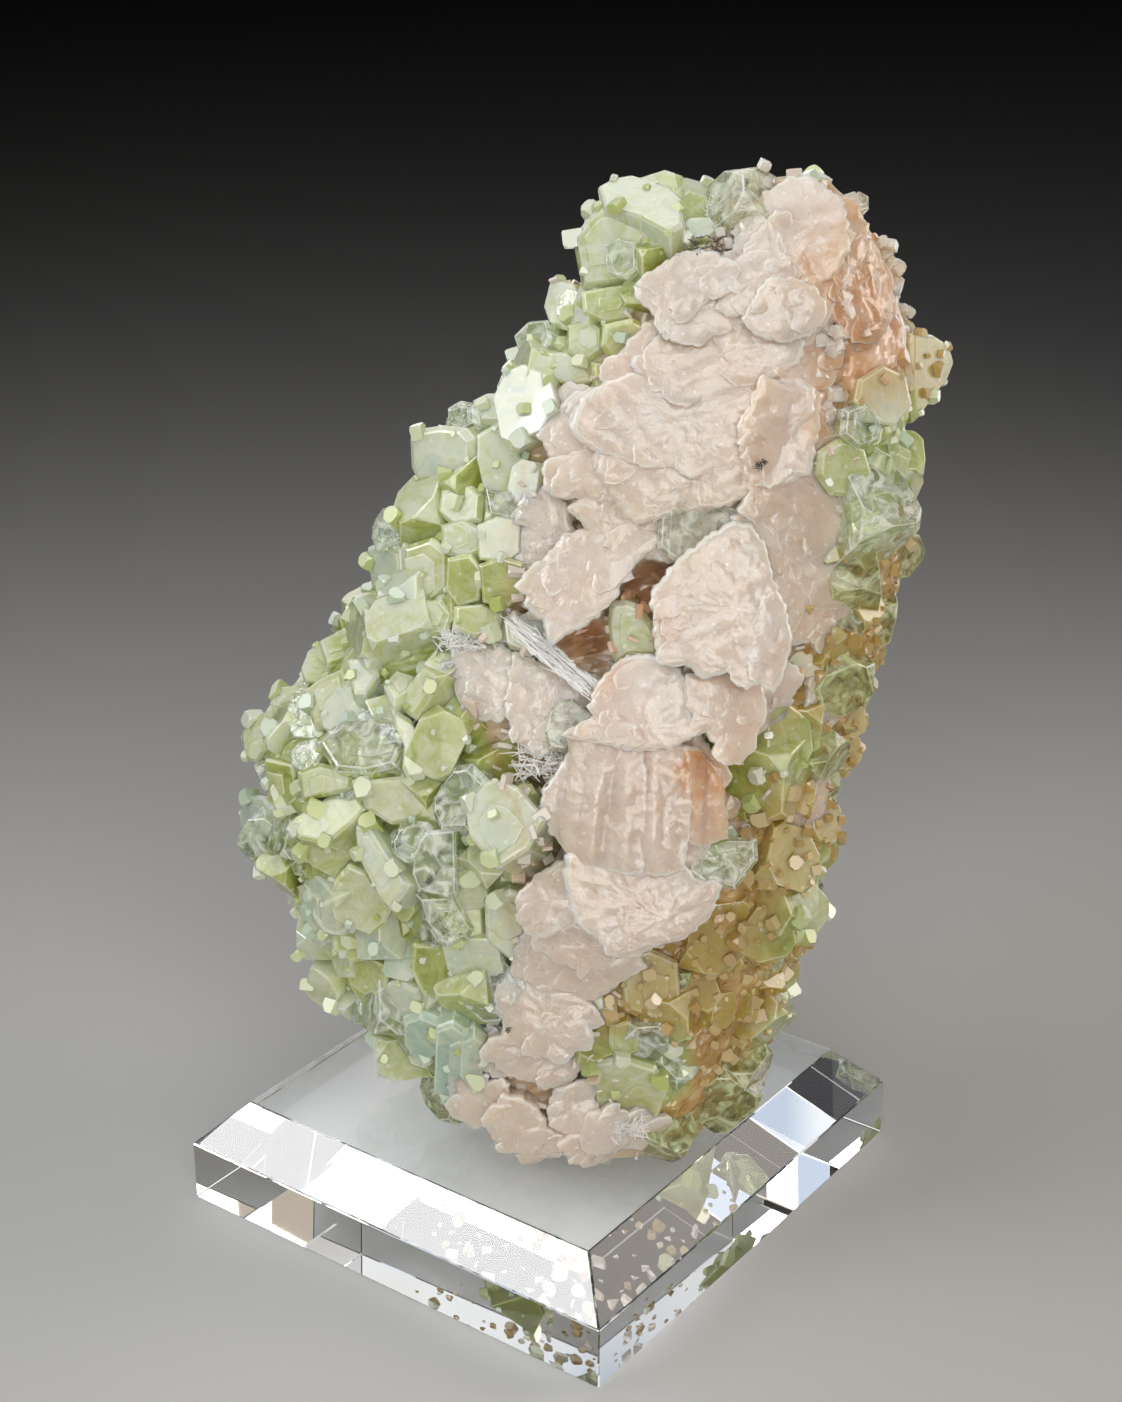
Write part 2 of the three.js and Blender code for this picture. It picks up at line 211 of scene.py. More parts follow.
# A shape is its points, its faces, and a tint and an edge mark for each face
def joinShapes(name, shapes, material):
    group = bpy.data.collections.new("growth")
    things = []
    for index, (points, faces, tint, edges) in enumerate(shapes):
        thing = makeObject(f"growth{index}", points, faces, material)
        tints = tint if isinstance(tint, list) else [tint] * len(faces)
        thing.data.attributes.new("tint", "FLOAT", "FACE").data.foreach_set("value", tints)
        thing.data.attributes.new("edge", "FLOAT", "FACE").data.foreach_set("value", edges)
        things.append(thing)
        if index:
            group.objects.link(thing)
    union = things[0].modifiers.new("union", "BOOLEAN")
    union.operation = "UNION"
    union.operand_type = "COLLECTION"
    union.solver = "MANIFOLD"
    union.collection = group
    graph = bpy.context.evaluated_depsgraph_get()
    graph.update()
    mesh = bpy.data.meshes.new_from_object(things[0].evaluated_get(graph))
    for thing in things:
        bpy.data.objects.remove(thing)
    bpy.data.collections.remove(group)
    mesh.name = name
    mesh.transform(specimenMatrix())
    mesh.materials.clear()
    mesh.materials.append(material)
    joined = bpy.data.objects.new(name, mesh)
    bpy.context.scene.collection.objects.link(joined)
    storeZones(mesh)
    triangles = sum(len(face.vertices) - 2 for face in mesh.polygons)
    print(name, "of", len(shapes), "shapes,", triangles, "triangles")
    return joined


# Each point keeps its zones, and how deep it lies between the growths
def storeZones(mesh):
    toSpecimen = specimenMatrix().inverted()
    spots = [toSpecimen @ v.co for v in mesh.vertices]
    zones = [(*zoneWeights(spot), smoothStep(5.0, -2.0, standsOut(spot))) for spot in spots]
    for index, key in enumerate(("green", "pale", "rust", "sunk")):
        layer = mesh.attributes.get(key) or mesh.attributes.new(key, "FLOAT", "POINT")
        layer.data.foreach_set("value", [zone[index] for zone in zones])


# The matrix: stacked rounded sections with lumps, cells and hollows, closed at the foot and the top
def matrixShape():
    body = matrixBody
    power = 2 / body["fullness"]
    top = body["levels"][-1][0]
    rows = int((top - body["foot"]) / body["stepUp"])
    points = []
    for row in range(rows + 1):
        up = body["foot"] + (top - body["foot"]) * row / rows
        _, left, right, crest, front, rear, middle = between(body["levels"], up)
        for i in range(body["around"]):
            angle = 2 * math.pi * i / body["around"]
            c, s = math.cos(angle), math.sin(angle)
            acrossReach = right - crest if c > 0 else crest - left
            depthReach = rear if s > 0 else front
            x = crest + acrossReach * signedPower(c, power)
            y = middle + depthReach * signedPower(s, power)
            outward = Vector((signedPower(c, 0.8), signedPower(s, 0.8), 0)).normalized()
            here = Vector((x, y, up))
            relief = sum(height * noise.noise(here * rate) for height, rate in body["lumps"])
            cells, _ = noise.voronoi(here * body["cellRate"])
            relief += body["cellHeight"] * (cells[1] - cells[0]) - body["cellSink"]
            for px, pz, radius, depth in body["hollows"]:
                if s < 0:
                    relief -= depth * math.exp(-((x - px) ** 2 + (up - pz) ** 2) / radius ** 2)
            if s < 0:
                relief += body["fill"] * smoothStep(0, 0.5, -s)
            keep = smoothStep(0, 6, up - body["foot"])
            points.append(here + outward * relief * keep)
    around = body["around"]
    faces = [tuple(reversed(range(around)))]
    for row in range(rows):
        for i in range(around):
            a, b = row * around + i, row * around + (i + 1) % around
            faces.append((a, b, b + around, a + around))
    faces.append(tuple(range(rows * around, (rows + 1) * around)))
    return points, faces, matrixTint, [0.0] * len(faces)


# Crystals

apophyllites = {
    # across, up, proud, width, breadth, length, yaw, pitch, spin, tint
    # tint runs from -1, teal, through 0, colourless, to 1, olive green
    "along the edges": [
        (15, 190, 3, 16, 12, 20, -20, 45, 25, 0.4), (3, 175, 3, 8, 8, 12, -45, 20, 0, 0.15),
        (-8, 155, 4, 11, 8, 14, -30, 40, 5, -0.1), (-15, 154, 3, 8, 6, 13, -55, 25, 0, 0.1),
        (-22, 138, 3, 8, 9, 13, -50, 20, 30, 0.25), (-29, 134, 3, 8, 8, 13, -60, 25, 20, 0.1),
        (-28, 122, 3, 9, 8, 12, -45, 15, -10, 0.4), (-40, 109, 4, 11, 8, 13, -40, 45, 10, 0.15),
        (-46, 101, 4, 9, 8, 12, -60, 35, 0, 0.2), (-54, 77, 3, 8, 9, 13, -75, 0, 10, -0.4),
        (-49, 63, 3, 9, 8, 12, -70, -10, 15, 0.3), (-43, 52, 3, 9, 8, 12, -60, -20, 0, 0.5),
        (-36, 41, 3, 9, 8, 12, -50, -25, 10, 0.4), (-26, 33, 3, 8, 9, 12, -40, -30, 20, 0.2),
        (42, 105, 4, 7, 16, 10, 35, 10, 5, 0.6), (52, 70, 4, 9, 10, 12, 60, 0, 0, 0.95),
        (50, 60, 3, 8, 8, 10, 62, -5, 20, 0.6), (46, 42, 4, 8, 9, 11, 60, -10, -15, 0.8),
        (60, 130, 3, 8, 9, 11, 65, 5, 10, 0.6), (59, 118, 3, 7, 8, 10, 60, 5, 30, 0.5),
        (22, 38, 3, 10, 9, 9, 20, -5, 10, 0.5), (31, 85, 4, 11, 9, 9, 12, 12, -15, 0.5),
    ],
}

# Crystals whose front face is seen clearly: its outline in millimetres on the face's own plane
outlinedCrystals = {
    # across, up, proud, yaw, pitch, depth, tint, clear, outline
    "rounded lobe": [
        (-7.3, 95, 12, -22, 34, 16, 0.02, 0,
         "-5,-3.5 0.9,-7.8 5.4,-3.8 6,-2 7.3,1.6 1.6,5.9 -1,6.6 -4.3,6.2 -5.9,3.5 -7,1.1"),
        (-15.4, 96.4, 8, -25, 20, 12, -0.05, 1,
         "-4.1,-3.4 -2.1,-6 2.8,-4.9 2.8,0.2 5.3,3.8 1.5,6 -1.3,5.1 -3.3,1.7 -4.5,-0.8"),
        (-18.9, 84.8, 9, -8, 20, 12, 0.1, 1,
         "-3.8,0.2 -4,-2.1 -2.8,-4.7 2.2,-5.6 3.6,-5 2.9,5.9 -2,5.2 -3,3.9"),
        (-23.5, 88.1, 8, -14, 30, 9, 0, 1,
         "-2.8,-2.5 -0.5,-3.7 1.3,-3.5 2.5,0 3.7,2.4 2.5,3.4 0.1,3.3 -2.5,1.8 -3.4,-0.6"),
        (-17.5, 73.7, 8, 6, 12, 13, 0.3, 1, "-3.8,0.1 -1.4,-4.2 0.3,-5.2 3.9,-3.8 4.9,-2.2 1.5,4.4 -4.8,4.4"),
        (-29.5, 82.9, 9, -34, 22, 8, 0, 0, "-4.9,0.6 2.1,-5.8 4.2,-6.9 6.6,-1.7 -4,6.7 -6.7,5.6"),
        (-33.6, 73.7, 7, -12, 10, 12, 0.35, 0,
         "-4.1,-3.8 2.3,-5.8 5,-3.2 5.7,-0.7 1.3,5.4 -1.8,6.4 -4.2,3.4 -5.3,0"),
        (-38.7, 88.8, 6, -30, 40, 12, 0.55, 0,
         "-7.4,-3.4 -4.2,-4.8 1.4,-4.6 4.8,0.2 6.8,3.2 2.9,5.9 -0.9,4 -6.4,-1.7"),
        (-38.1, 81.6, 5, -16, 6, 10, 0.75, 0,
         "-7.1,-1.1 -4,-3.8 0.4,-5.5 4.8,0.5 6.3,4.9 3.7,6.1 -1.5,1.2 -6.3,1.7"),
        (-51.2, 95.7, 5, -55, 26, 12, 0.45, 0,
         "-5.1,-6.8 2.2,-4.5 7.8,-1.2 8.3,4.5 0.1,6.6 -4.5,2.8 -7.8,0.4 -9.2,-3.2"),
        (-54.7, 78.6, 4, -60, 8, 11, -0.7, 0,
         "-6.3,-4.4 -2.4,-5 2.1,-3.5 6.3,0.9 6.5,4.4 2.7,4.9 -3.9,2.6 -6.8,-2.1"),
        (-23.2, 103.9, 8, 8, 30, 8, 0.1, 0,
         "-2.5,3.5 -1.1,0.5 -1.6,-3.2 -0.7,-5.5 1.9,-5.3 2.7,-3.5 1.5,2.4 0.3,4.8 -2.9,6.9"),
        (-22.2, 113.3, 8, -48, 34, 8, 0.4, 0, "1.5,-4.6 3.9,4.2 -1.1,4.7 -4.3,-4"),
        (-32.2, 113.3, 7, -14, 62, 9, 0, 0, "-0.3,-4.6 1.6,-4.4 2.8,0.1 1.1,4.4 -3.6,2.4"),
        (-25.4, 113.2, 7, 0, 66, 9, 0.05, 0, "-0.7,-4.4 1.8,-2.2 2.5,2.4 -0.7,3.8 -2.7,0.4"),
        (-32, 102.5, 7, -22, 44, 9, 0.15, 1,
         "-3.8,-5.2 1.9,-4.8 6.9,-2.6 7.5,2.2 4.4,5.3 -1.1,4.8 -6.4,2.8 -8.6,-0.9"),
        (-43.2, 97.5, 6, -34, 30, 9, 0.1, 1, "-2.1,-2.5 1.7,-3.2 3.3,1.1 1.1,3.4 -2,2.2 -3.6,-0.2"),
        (-26.7, 94.1, 6, 10, 18, 10, 0.4, 0, "-4.4,-1.2 -0.3,-4.3 3.2,-3.9 5.7,-3.2 3.2,3.8 -6.2,3.4"),
        (-48.2, 90.5, 4, -40, 8, 10, 0.65, 0, "-2.7,-4.3 1.3,-4.3 4.2,-1.5 2.7,4.2 -4.1,3.4"),
        (-50.3, 70.7, 4, -50, 6, 9, -0.4, 1, "-4.2,-3.2 2.2,-3 8.3,0.1 4.6,0.6 3.7,4.1 -2.6,3 -7.4,-1.3"),
        (-43.4, 64.6, 4, -64, -12, 10, 0, 0, "-9.8,-7.4 -4.6,-12.5 6.8,-3.8 14.1,9.8 3.8,9.6 -14.9,-1.2"),
        (-35.2, 62.8, 5, -14, 28, 10, 0.6, 0, "-3.5,-1.5 0,-3.3 5.2,-1.6 3.8,1.4 -1.1,2.8 -4.7,3.1"),
        (-39.3, 106.7, 5, -44, 40, 10, 0.2, 0, "0.2,-6 4.9,-3.7 4.8,2.3 0.5,6.7 -4.3,2.8 -6.7,-0.8"),
        (-47.4, 100.6, 4, -50, 48, 10, 0.3, 0, "4.5,-3.2 6.4,1.2 0,4.3 -5.8,1.7 -5.3,-3.3"),
        (-28.1, 109, 7, -10, 44, 8, 0.35, 0, "-2,-1.7 2.8,-2.4 3.1,0.2 0.2,2.6 -3.7,1.2"),
        (-39.5, 94.7, 6, -24, 22, 9, 0.5, 0, "-3.9,-4.1 0.3,-2.6 6,-0.2 5.5,2.6 -1.4,2.9 -5.5,0.7"),
        (-37.6, 112.9, 5, -34, 50, 10, 0.1, 0, "-0.5,-4.3 3.8,-1.4 4.1,2.1 -1.1,3.9 -4.9,-0.1"),
        (-17, 117.7, 5, -10, 54, 8, 0.2, 0, "0.4,-3.1 3.5,-0.4 2.3,2.8 -2.3,2 -3.9,-0.8"),
    ],
    "upper left edge": [
        (-18.4, 149.2, 7, -34, 10, 14, 0, 0,
         "-6.2,-3.2 -4.9,-5.2 -0.5,-4.8 4.7,-3.5 6.6,-1.4 6.3,3.6 4.2,5 -0.6,4.6 -5.3,3.2 -6.9,1.4"),
        (-7.8, 157.7, 6, -26, 48, 11, -0.1, 0, "-3,-3.4 2.2,-3.1 5.3,-1.3 4.3,2.5 0.8,3.5 -3.7,2.6 -5.8,0.8"),
        (-14.7, 155.7, 5, -45, 24, 10, 0, 1, "-2.8,-2.2 1.2,-2.4 4.1,-0.7 2.3,2.5 -1.7,2.3 -4.1,0.5"),
        (-7.8, 150.6, 6, -10, 18, 10, 0.2, 0,
         "-3.8,-0.1 -2.3,-4.9 1.3,-5.8 3.7,-4.2 3.6,2.7 1.8,5 -1.5,5.5 -3.9,4"),
        (-14.9, 142.3, 6, -26, 26, 10, 0.3, 0, "-4.1,-2 0.3,-4.2 4.3,-2.2 3.7,2.4 -0.3,4.3 -4.2,2"),
        (-22.6, 138.6, 5, -46, 36, 10, 0.15, 0, "-3.8,-2.8 0.4,-4.1 4.6,-0.6 3.6,3.5 -0.8,3.6 -5.1,0.1"),
        (-28.4, 134, 4, -60, 30, 10, 0, 1, "-3.4,-2.9 1.9,-2.4 5.6,0.4 2.9,3.3 -3,1.8 -5.8,-0.9"),
        (-29, 127.6, 4, -50, 12, 12, -0.5, 0, "-3.3,-5.2 3.2,-4.1 5.8,0.3 4.1,4.7 -1.2,4.4 -6.4,1.5"),
        (-21, 130.9, 6, -24, 14, 12, 0.4, 0, "-3.3,-5 1.5,-5.3 4.4,-2.4 3.7,3.9 0.4,5.6 -4.5,3.5"),
        (-7.2, 132.4, 7, -8, 12, 11, 0.85, 0, "-3.1,-3.7 1.2,-4.2 3.9,-1.6 3.4,3.2 -0.4,4.1 -3.9,2.5"),
        (-7.6, 139, 7, -4, 24, 10, 0.1, 0, "-3.3,-3.3 0.9,-3.9 3.6,-2.1 3.5,3.4 -0.7,3.8 -3.8,2.2"),
        (-14.6, 137.5, 6, -18, 34, 10, 0.1, 0, "-3.3,-2.1 0.7,-3.8 4.1,-2 3.3,2.3 -0.3,3.7 -4.2,2.2"),
        (-14, 131.2, 6, -14, 10, 10, 0.5, 0, "-3.1,-2 -0.8,-4.6 2.7,-3.2 3.3,1.8 1,4.4 -2.9,3.4"),
        (-27.3, 123.1, 4, -44, 22, 10, 0.4, 0, "-3.8,-2.4 0.3,-3.2 4.7,-1 3.9,2.5 -1,3.1 -4.9,0.6"),
        (-28.3, 120.5, 5, -30, 52, 10, 0, 0, "-3.6,-2.8 1.2,-3 5.2,-0.8 3.8,2.8 -1.4,2.9 -5.4,0.7"),
        (-19.9, 124.3, 6, -18, 30, 9, 0.25, 0, "-3.6,-1.3 -0.6,-3.4 3.3,-2.3 3.9,1 1.3,3.2 -3.8,2.3"),
        (-11.7, 125.4, 6, -6, 34, 9, 0.3, 0, "-3.8,-1.7 -0.2,-3 3.9,-1.7 4.1,1.5 0.8,2.8 -3.9,2.2"),
        (-6.9, 144.7, 6, -8, 36, 9, 0, 1, "-2.2,-2.3 1.7,-2.8 3.5,0.2 1.9,2.6 -0.8,1.8 -3.7,2.7"),
    ],
    "summit": [
        (12.3, 187, 9, -22, 16, 18, 0.3, 0,
         "-5.9,3.9 -8.1,0.8 -6.9,-3.3 -5.5,-7.4 -1.1,-6.5 3.9,-5.4 6.8,-2.1 9.6,2.5 8.2,3.7 1.5,6.1 -1.5,6.9 "
         "-3.6,6.4"),
        (17, 194.7, 8, -14, 62, 12, 0, 0,
         "-6.2,-1.7 0.1,-3.8 5.5,-7.3 7.2,-5.3 6.5,0.3 4.3,2.8 0.4,4.8 -3.3,6.2 -6.3,5.1 -8.2,2.9"),
        (13, 185.8, 11, -20, 24, 8, 0.05, 1, "-2,-2.7 1.2,-3.3 2.9,-1.6 2.1,2.7 -0.9,3.2 -3,2"),
        (25.4, 192.5, 5, 12, 40, 9, 0.5, 0, "-2.6,-2.9 0.5,-3.4 3.3,-1.3 3.1,2.2 0.1,3.5 -3.3,1.7"),
        (4.3, 175.7, 5, -36, 26, 10, 0, 1, "-2,-2.1 0.9,-2.9 3,-1 1.7,2.4 -1.3,2.7 -3,1"),
        (-2, 169.4, 5, -46, 30, 11, 0.05, 1, "-0.6,-4 3.2,-2.5 3.7,1.3 1.4,3.8 -2.6,2.7 -4.6,-0.3"),
        (-2.7, 163.3, 5, -48, 8, 11, 0, 1, "-3.6,-1.9 -0.2,-3.4 3.8,-1.5 3.7,2.4 -0.1,3.1 -4.3,1.1"),
        (11.5, 177.9, 5, -12, 22, 10, 0.6, 0, "-4.6,-1.8 -1,-3.3 3.5,-2.4 4.9,0.7 3.4,3.4 -1.1,2.5 -5.2,1.6"),
        (14.4, 172.4, 5, -4, 12, 10, 0.95, 0, "-4.4,-0.8 -2.7,-3.4 2.1,-3.3 4.8,-1.3 4,2.1 0.6,3.7 -4.1,2.6"),
        (7, 171.6, 5, -22, 28, 10, 0.35, 0, "-2.9,-2.3 0.8,-4.1 3.6,-1.7 2.8,2.4 0,3.9 -3.7,2.1"),
        (4, 166.6, 5, -20, 34, 10, 0.2, 0, "-2.7,-1.6 1.2,-3 4.6,-1.6 2.9,1.1 -0.7,2.9 -4.3,2.6"),
        (11.6, 167, 4, -6, 30, 9, 0.6, 0, "-2.9,-2.6 0.2,-1.9 4.5,0 3.7,1.7 0,1.6 -3.4,1.9"),
    ],
    "foot": [
        (-17.2, 61.2, 5, -4, 6, 11, 0.85, 0,
         "-6.7,0.1 -4.6,-4.5 0.5,-6.3 5.6,-3.3 6.7,2.6 3.8,5.6 -1.2,4.3 -6.1,4.9"),
        (-27.2, 51.7, 4, -26, -8, 10, -0.4, 0, "-4.4,-3.9 0.2,-4.9 4.8,-0.8 4.4,3.7 0.4,4.8 -4.6,1.6"),
        (-32.6, 56, 4, -30, 4, 10, 0.7, 0, "-3.9,-2.7 -0.7,-3.9 3.7,-1.4 4.1,2.7 0.1,3.7 -3.9,1.4"),
        (-22.7, 45.1, 5, -18, -16, 10, -0.6, 0, "-3.9,-3.1 -1.3,-7.9 2.8,-3.7 4.3,5.1 0.5,6.4 -3.3,3.9"),
        (-17.6, 42.4, 6, -10, -20, 10, -0.75, 0, "-3.7,-9.7 -1.3,-11.7 2,-5.3 3.9,7.8 1.5,10.3 -1.6,8.2"),
        (-13.2, 43.2, 6, 4, -14, 10, -0.7, 0, "-2.6,-4.6 -0.5,-7.9 2.1,-4.9 2.9,4.4 0.4,7.1 -2.2,5.7"),
        (-5.2, 72.9, 6, 2, 8, 12, -0.05, 0, "-4.8,-3 -0.9,-6.5 4.1,-4.7 5.4,-0.1 4.2,4.4 -0.8,6 -5,4.2"),
        (-14.4, 72, 5, 8, 16, 10, 0.5, 0, "-5.7,4.3 -0.5,-5.5 3.9,-4 3.8,2.2 2.1,3.8"),
        (14.3, 49.6, 5, 0, 14, 10, 0.75, 0, "-3.2,-2 -0.3,-4.2 2.9,-2.4 3.3,1.8 0.8,4 -2.9,2.9"),
        (15.3, 38.5, 5, 2, -6, 11, 0.4, 0, "-5.5,-3.5 -1,-8.3 5.2,-6.1 7.2,0.3 4.6,5 -1.3,7.4 -6.7,6.2"),
        (8.7, 58.2, 5, -6, 16, 10, 0.35, 0, "-3.7,-3.3 0.7,-4.9 4.2,-2.5 4.1,2.6 0.4,4.6 -4.2,3.6"),
        (18.9, 61.1, 5, 6, 10, 10, 0.55, 0, "-4.3,-4.3 1.1,-6.5 5.4,-3.3 4.8,3.5 0.1,6 -5.3,4.8"),
    ],
    "among the stilbite": [
        (15, 126.3, 9, -6, 14, 12, 0.45, 0,
         "-3.9,1.3 -3.4,-3 -2.6,-5 -1,-4.1 1.6,-4.3 4.8,-4.3 4.6,-2.6 4,0.3 3.1,2.1 0.6,4.8 -1.2,5.4 "
         "-3.3,5.1 -3.8,4.2"),
        (31, 87.6, 10, 6, 26, 10, 0.3, 1,
         "-5.8,-1.4 -3.2,-3.6 -0.4,-3.9 1.9,-4.6 3.7,-2.4 5.9,0.1 5.8,3.5 1.4,3.8 -3.9,2.6 -6.4,2"),
        (3.9, 110.1, 7, -6, 30, 9, 0.4, 1,
         "-3.6,-1.5 -2.6,-4.5 0.2,-4.8 0.6,-2.3 3.2,-0.1 5.8,0.7 4.3,2 0.8,4.1 -1.3,3.5 -3,2"),
        (25, 145.2, 9, 2, 16, 8, 0, 1, "-5.4,-4.2 -2.7,-6.3 1,-4.3 5.1,-1.3 8.4,1.7 4.1,3.7 -0.3,5.1 -5,3.8"),
        (-2.9, 124.1, 5, -8, 40, 8, -0.1, 0, "-3.1,-2.1 0.8,-3.3 4.2,-1.7 3.6,0.8 0.2,3.6 -4,1.9"),
    ],
    "right-hand side": [
        (68.2, 163.5, 3, 52, 14, 16, 0.8, 0,
         "-6,-0.7 -6.7,-7.6 -1.2,-5.3 5.2,-3.1 8.4,-0.6 7.6,2.7 3.4,5.2 -3.4,6.8"),
        (57.9, 164, 5, 34, 22, 10, 0.05, 0, "-6,0.2 -4.3,-3.5 1.1,-5 5.4,-2.3 5.3,2.6 1,5 -4.3,3.4"),
        (53.8, 160.2, 5, 24, 18, 9, 0.05, 1, "-3.9,-1 -1.1,-3.7 2.9,-2.9 4.1,0.7 1,3.8 -3,2.9"),
        (51.1, 153.2, 5, 26, 14, 10, 0.55, 0,
         "-5.2,-0.2 -2.8,-3.9 2.2,-5 5.3,-1.6 4.2,2.9 -0.4,4.9 -4.5,3.4"),
        (60.4, 150.8, 4, 46, 12, 12, 0.45, 0, "-6.7,0.9 -4.3,-3.8 2.8,-5.9 7.4,-3 6,1.9 0.3,5.3 -5.9,5.2"),
        (58.4, 142.7, 4, 40, 4, 10, 0.45, 0, "-5.1,-1.6 0.9,-5.1 6.4,-3.5 5.4,1.8 -0.7,4.5 -6.1,4.6"),
        (42.4, 106.6, 6, 22, 10, 11, 0.7, 0,
         "-4.5,5.3 -4.8,-0.7 -3.3,-8.1 1.8,-8.2 5.5,-2.7 5.2,3.8 0.6,7.7 -3.2,8.7"),
        (52.5, 72.1, 4, 52, 2, 11, 0.75, 0, "-6.5,-1.1 -0.1,-5.8 6.3,-5 7.6,-0.4 1,5.1 -5.9,6.1"),
        (50.8, 63.6, 4, 54, -4, 9, 0.4, 1, "-2.6,-2.9 4.6,-4.8 5.3,-1.1 0.6,3.6 -5.6,4.9"),
        (43.2, 55, 4, 50, -10, 11, 0.75, 0, "-5.9,-2.8 3,-8 9.9,-7.2 8.4,-0.4 -0.9,6.7 -9.7,9"),
        (54.1, 193.3, 3, 44, 50, 8, 0, 1, "-2.7,-1.9 1,-1.7 3.1,0.7 1.8,2 -2.1,1.2"),
    ],
}


# A place whose +Z looks out by yaw and pitch, turned by spin about that axis
def aim(point, yaw, pitch, spin):
    y, p, s = (math.radians(angle) for angle in (yaw, pitch, spin))
    outward = Vector((math.sin(y) * math.cos(p), -math.cos(y) * math.cos(p), math.sin(p)))
    rightward = Vector((math.cos(y), math.sin(y), 0))
    upward = outward.cross(rightward)
    turn = Matrix((rightward, upward, outward)).transposed().to_4x4()
    return Matrix.Translation(point) @ turn @ Matrix.Rotation(s, 4, "Z")


prism = {"skew": 0.03, "cornerCut": (0.14, 0.42), "cornerSlope": (0.9, 1.3)}


# A square prism with unequal cut corners: the space inside a set of planes
def crystalMesh(width, breadth, length, chance, bevel):
    planes = [(Vector((0, 0, 1)), 0.0), (Vector((0, 0, -1)), length)]
    skew = prism["skew"]
    for side in (-1, 1):
        planes.append((Vector((side, chance.uniform(-skew, skew), 0)).normalized(), width / 2))
        planes.append((Vector((chance.uniform(-skew, skew), side, 0)).normalized(), breadth / 2))
        for other in (-1, 1):
            cut = min(width, breadth) * chance.uniform(*prism["cornerCut"])
            drop = cut * chance.uniform(*prism["cornerSlope"])
            normal = Vector((side / cut, other / cut, 1 / drop))
            reach = (width / 2 / cut + breadth / 2 / cut - 1) / normal.length
            planes.append((normal.normalized(), reach))
    corners = []
    for i, (n1, d1) in enumerate(planes):
        for j in range(i):
            n2, d2 = planes[j]
            for k in range(j):
                n3, d3 = planes[k]
                volume = n1.dot(n2.cross(n3))
                if abs(volume) < nearZero:
                    continue
                corner = (n2.cross(n3) * d1 + n3.cross(n1) * d2 + n1.cross(n2) * d3) / volume
                if all(n.dot(corner) <= d + nearZero for n, d in planes):
                    corners.append(corner)
    shape = bmesh.new()
    for corner in corners:
        shape.verts.new(corner)
    bmesh.ops.remove_doubles(shape, verts=shape.verts, dist=0.02)
    bmesh.ops.convex_hull(shape, input=shape.verts)
    bmesh.ops.dissolve_limit(shape, angle_limit=0.03, verts=shape.verts, edges=shape.edges)
    return bevelled(shape, bevel)


# Points, faces and edge marks of a shape whose sharp edges are broken by a narrow bevel
def bevelled(shape, bevel):
    edges = set()
    if bevel > 0:
        made = bmesh.ops.bevel(
            shape, geom=shape.edges[:], offset=bevel, segments=1, affect="EDGES", profile=0.5)
        edges = set(made["faces"])
    bmesh.ops.recalc_face_normals(shape, faces=shape.faces)
    shape.verts.index_update()
    points = [v.co.copy() for v in shape.verts]
    faces = [[v.index for v in face.verts] for face in shape.faces]
    marks = [1.0 if face in edges else 0.0 for face in shape.faces]
    shape.free()
    return points, faces, marks


# The corners of an outline written as "x,y x,y", made larger by a factor
def readOutline(text, larger=1.0):
    return [tuple(larger * float(number) for number in pair.split(",")) for pair in text.split()]


# A prism with the given outline at its front and a slope of its own round the front face
def outlinePrism(outline, slope, drop, depth, lift, bevel):
    radius = sum(math.hypot(x, y) for x, y in outline) / len(outline)
    shape = bmesh.new()
    rings = []
    for scale, z in ((1 - slope / radius, lift), (1, lift - drop), (growth["rearShare"], -depth)):
        rings.append([shape.verts.new((x * scale, y * scale, z)) for x, y in outline])
    shape.faces.new(rings[0])
    shape.faces.new(list(reversed(rings[2])))
    for upper, lower in zip(rings, rings[1:]):
        for i in range(len(outline)):
            j = (i + 1) % len(outline)
            shape.faces.new((upper[i], lower[i], lower[j], upper[j]))
    return bevelled(shape, bevel)


growth = {
    "bevelShare": 0.02, "outlineBevelShare": 0.03, "leastBevel": 0.08, "faceShade": 0.26, "clearShare": 0.22,
    "slope": (0.07, 0.24), "steepness": (0.5, 1.3), "rearShare": 0.94, "overlap": 1.07,
    "stepSize": (0.35, 0.7), "stepLift": (0.18, 0.45),      # a low growth step on a front face
    "satellites": (0, 2), "satelliteSize": (0.34, 0.62), "satelliteLean": 7, "satelliteShift": (0.28, 0.56),
    "satelliteDrop": (0.02, 0.35), "satelliteLength": 0.7,
    "fillers": 380, "fillerTries": 6000, "fillerSize": (5.0, 12.5), "fillerSkew": 1.7, "fillerSpace": 5.6,
    "clearTint": 0.11, "seed": 11,
}


# Clear crystals are kept apart from the milky ones that join the matrix
def crystalAt(place, width, breadth, length, tint, chance, clear=False):
    bevel = max(growth["leastBevel"], growth["bevelShare"] * min(width, breadth))
    points, faces, marks = crystalMesh(width, breadth, length, chance, bevel)
    tints = [tint + chance.uniform(-1, 1) * growth["faceShade"] for _ in faces]
    return [place @ point for point in points], faces, tints, marks, clear


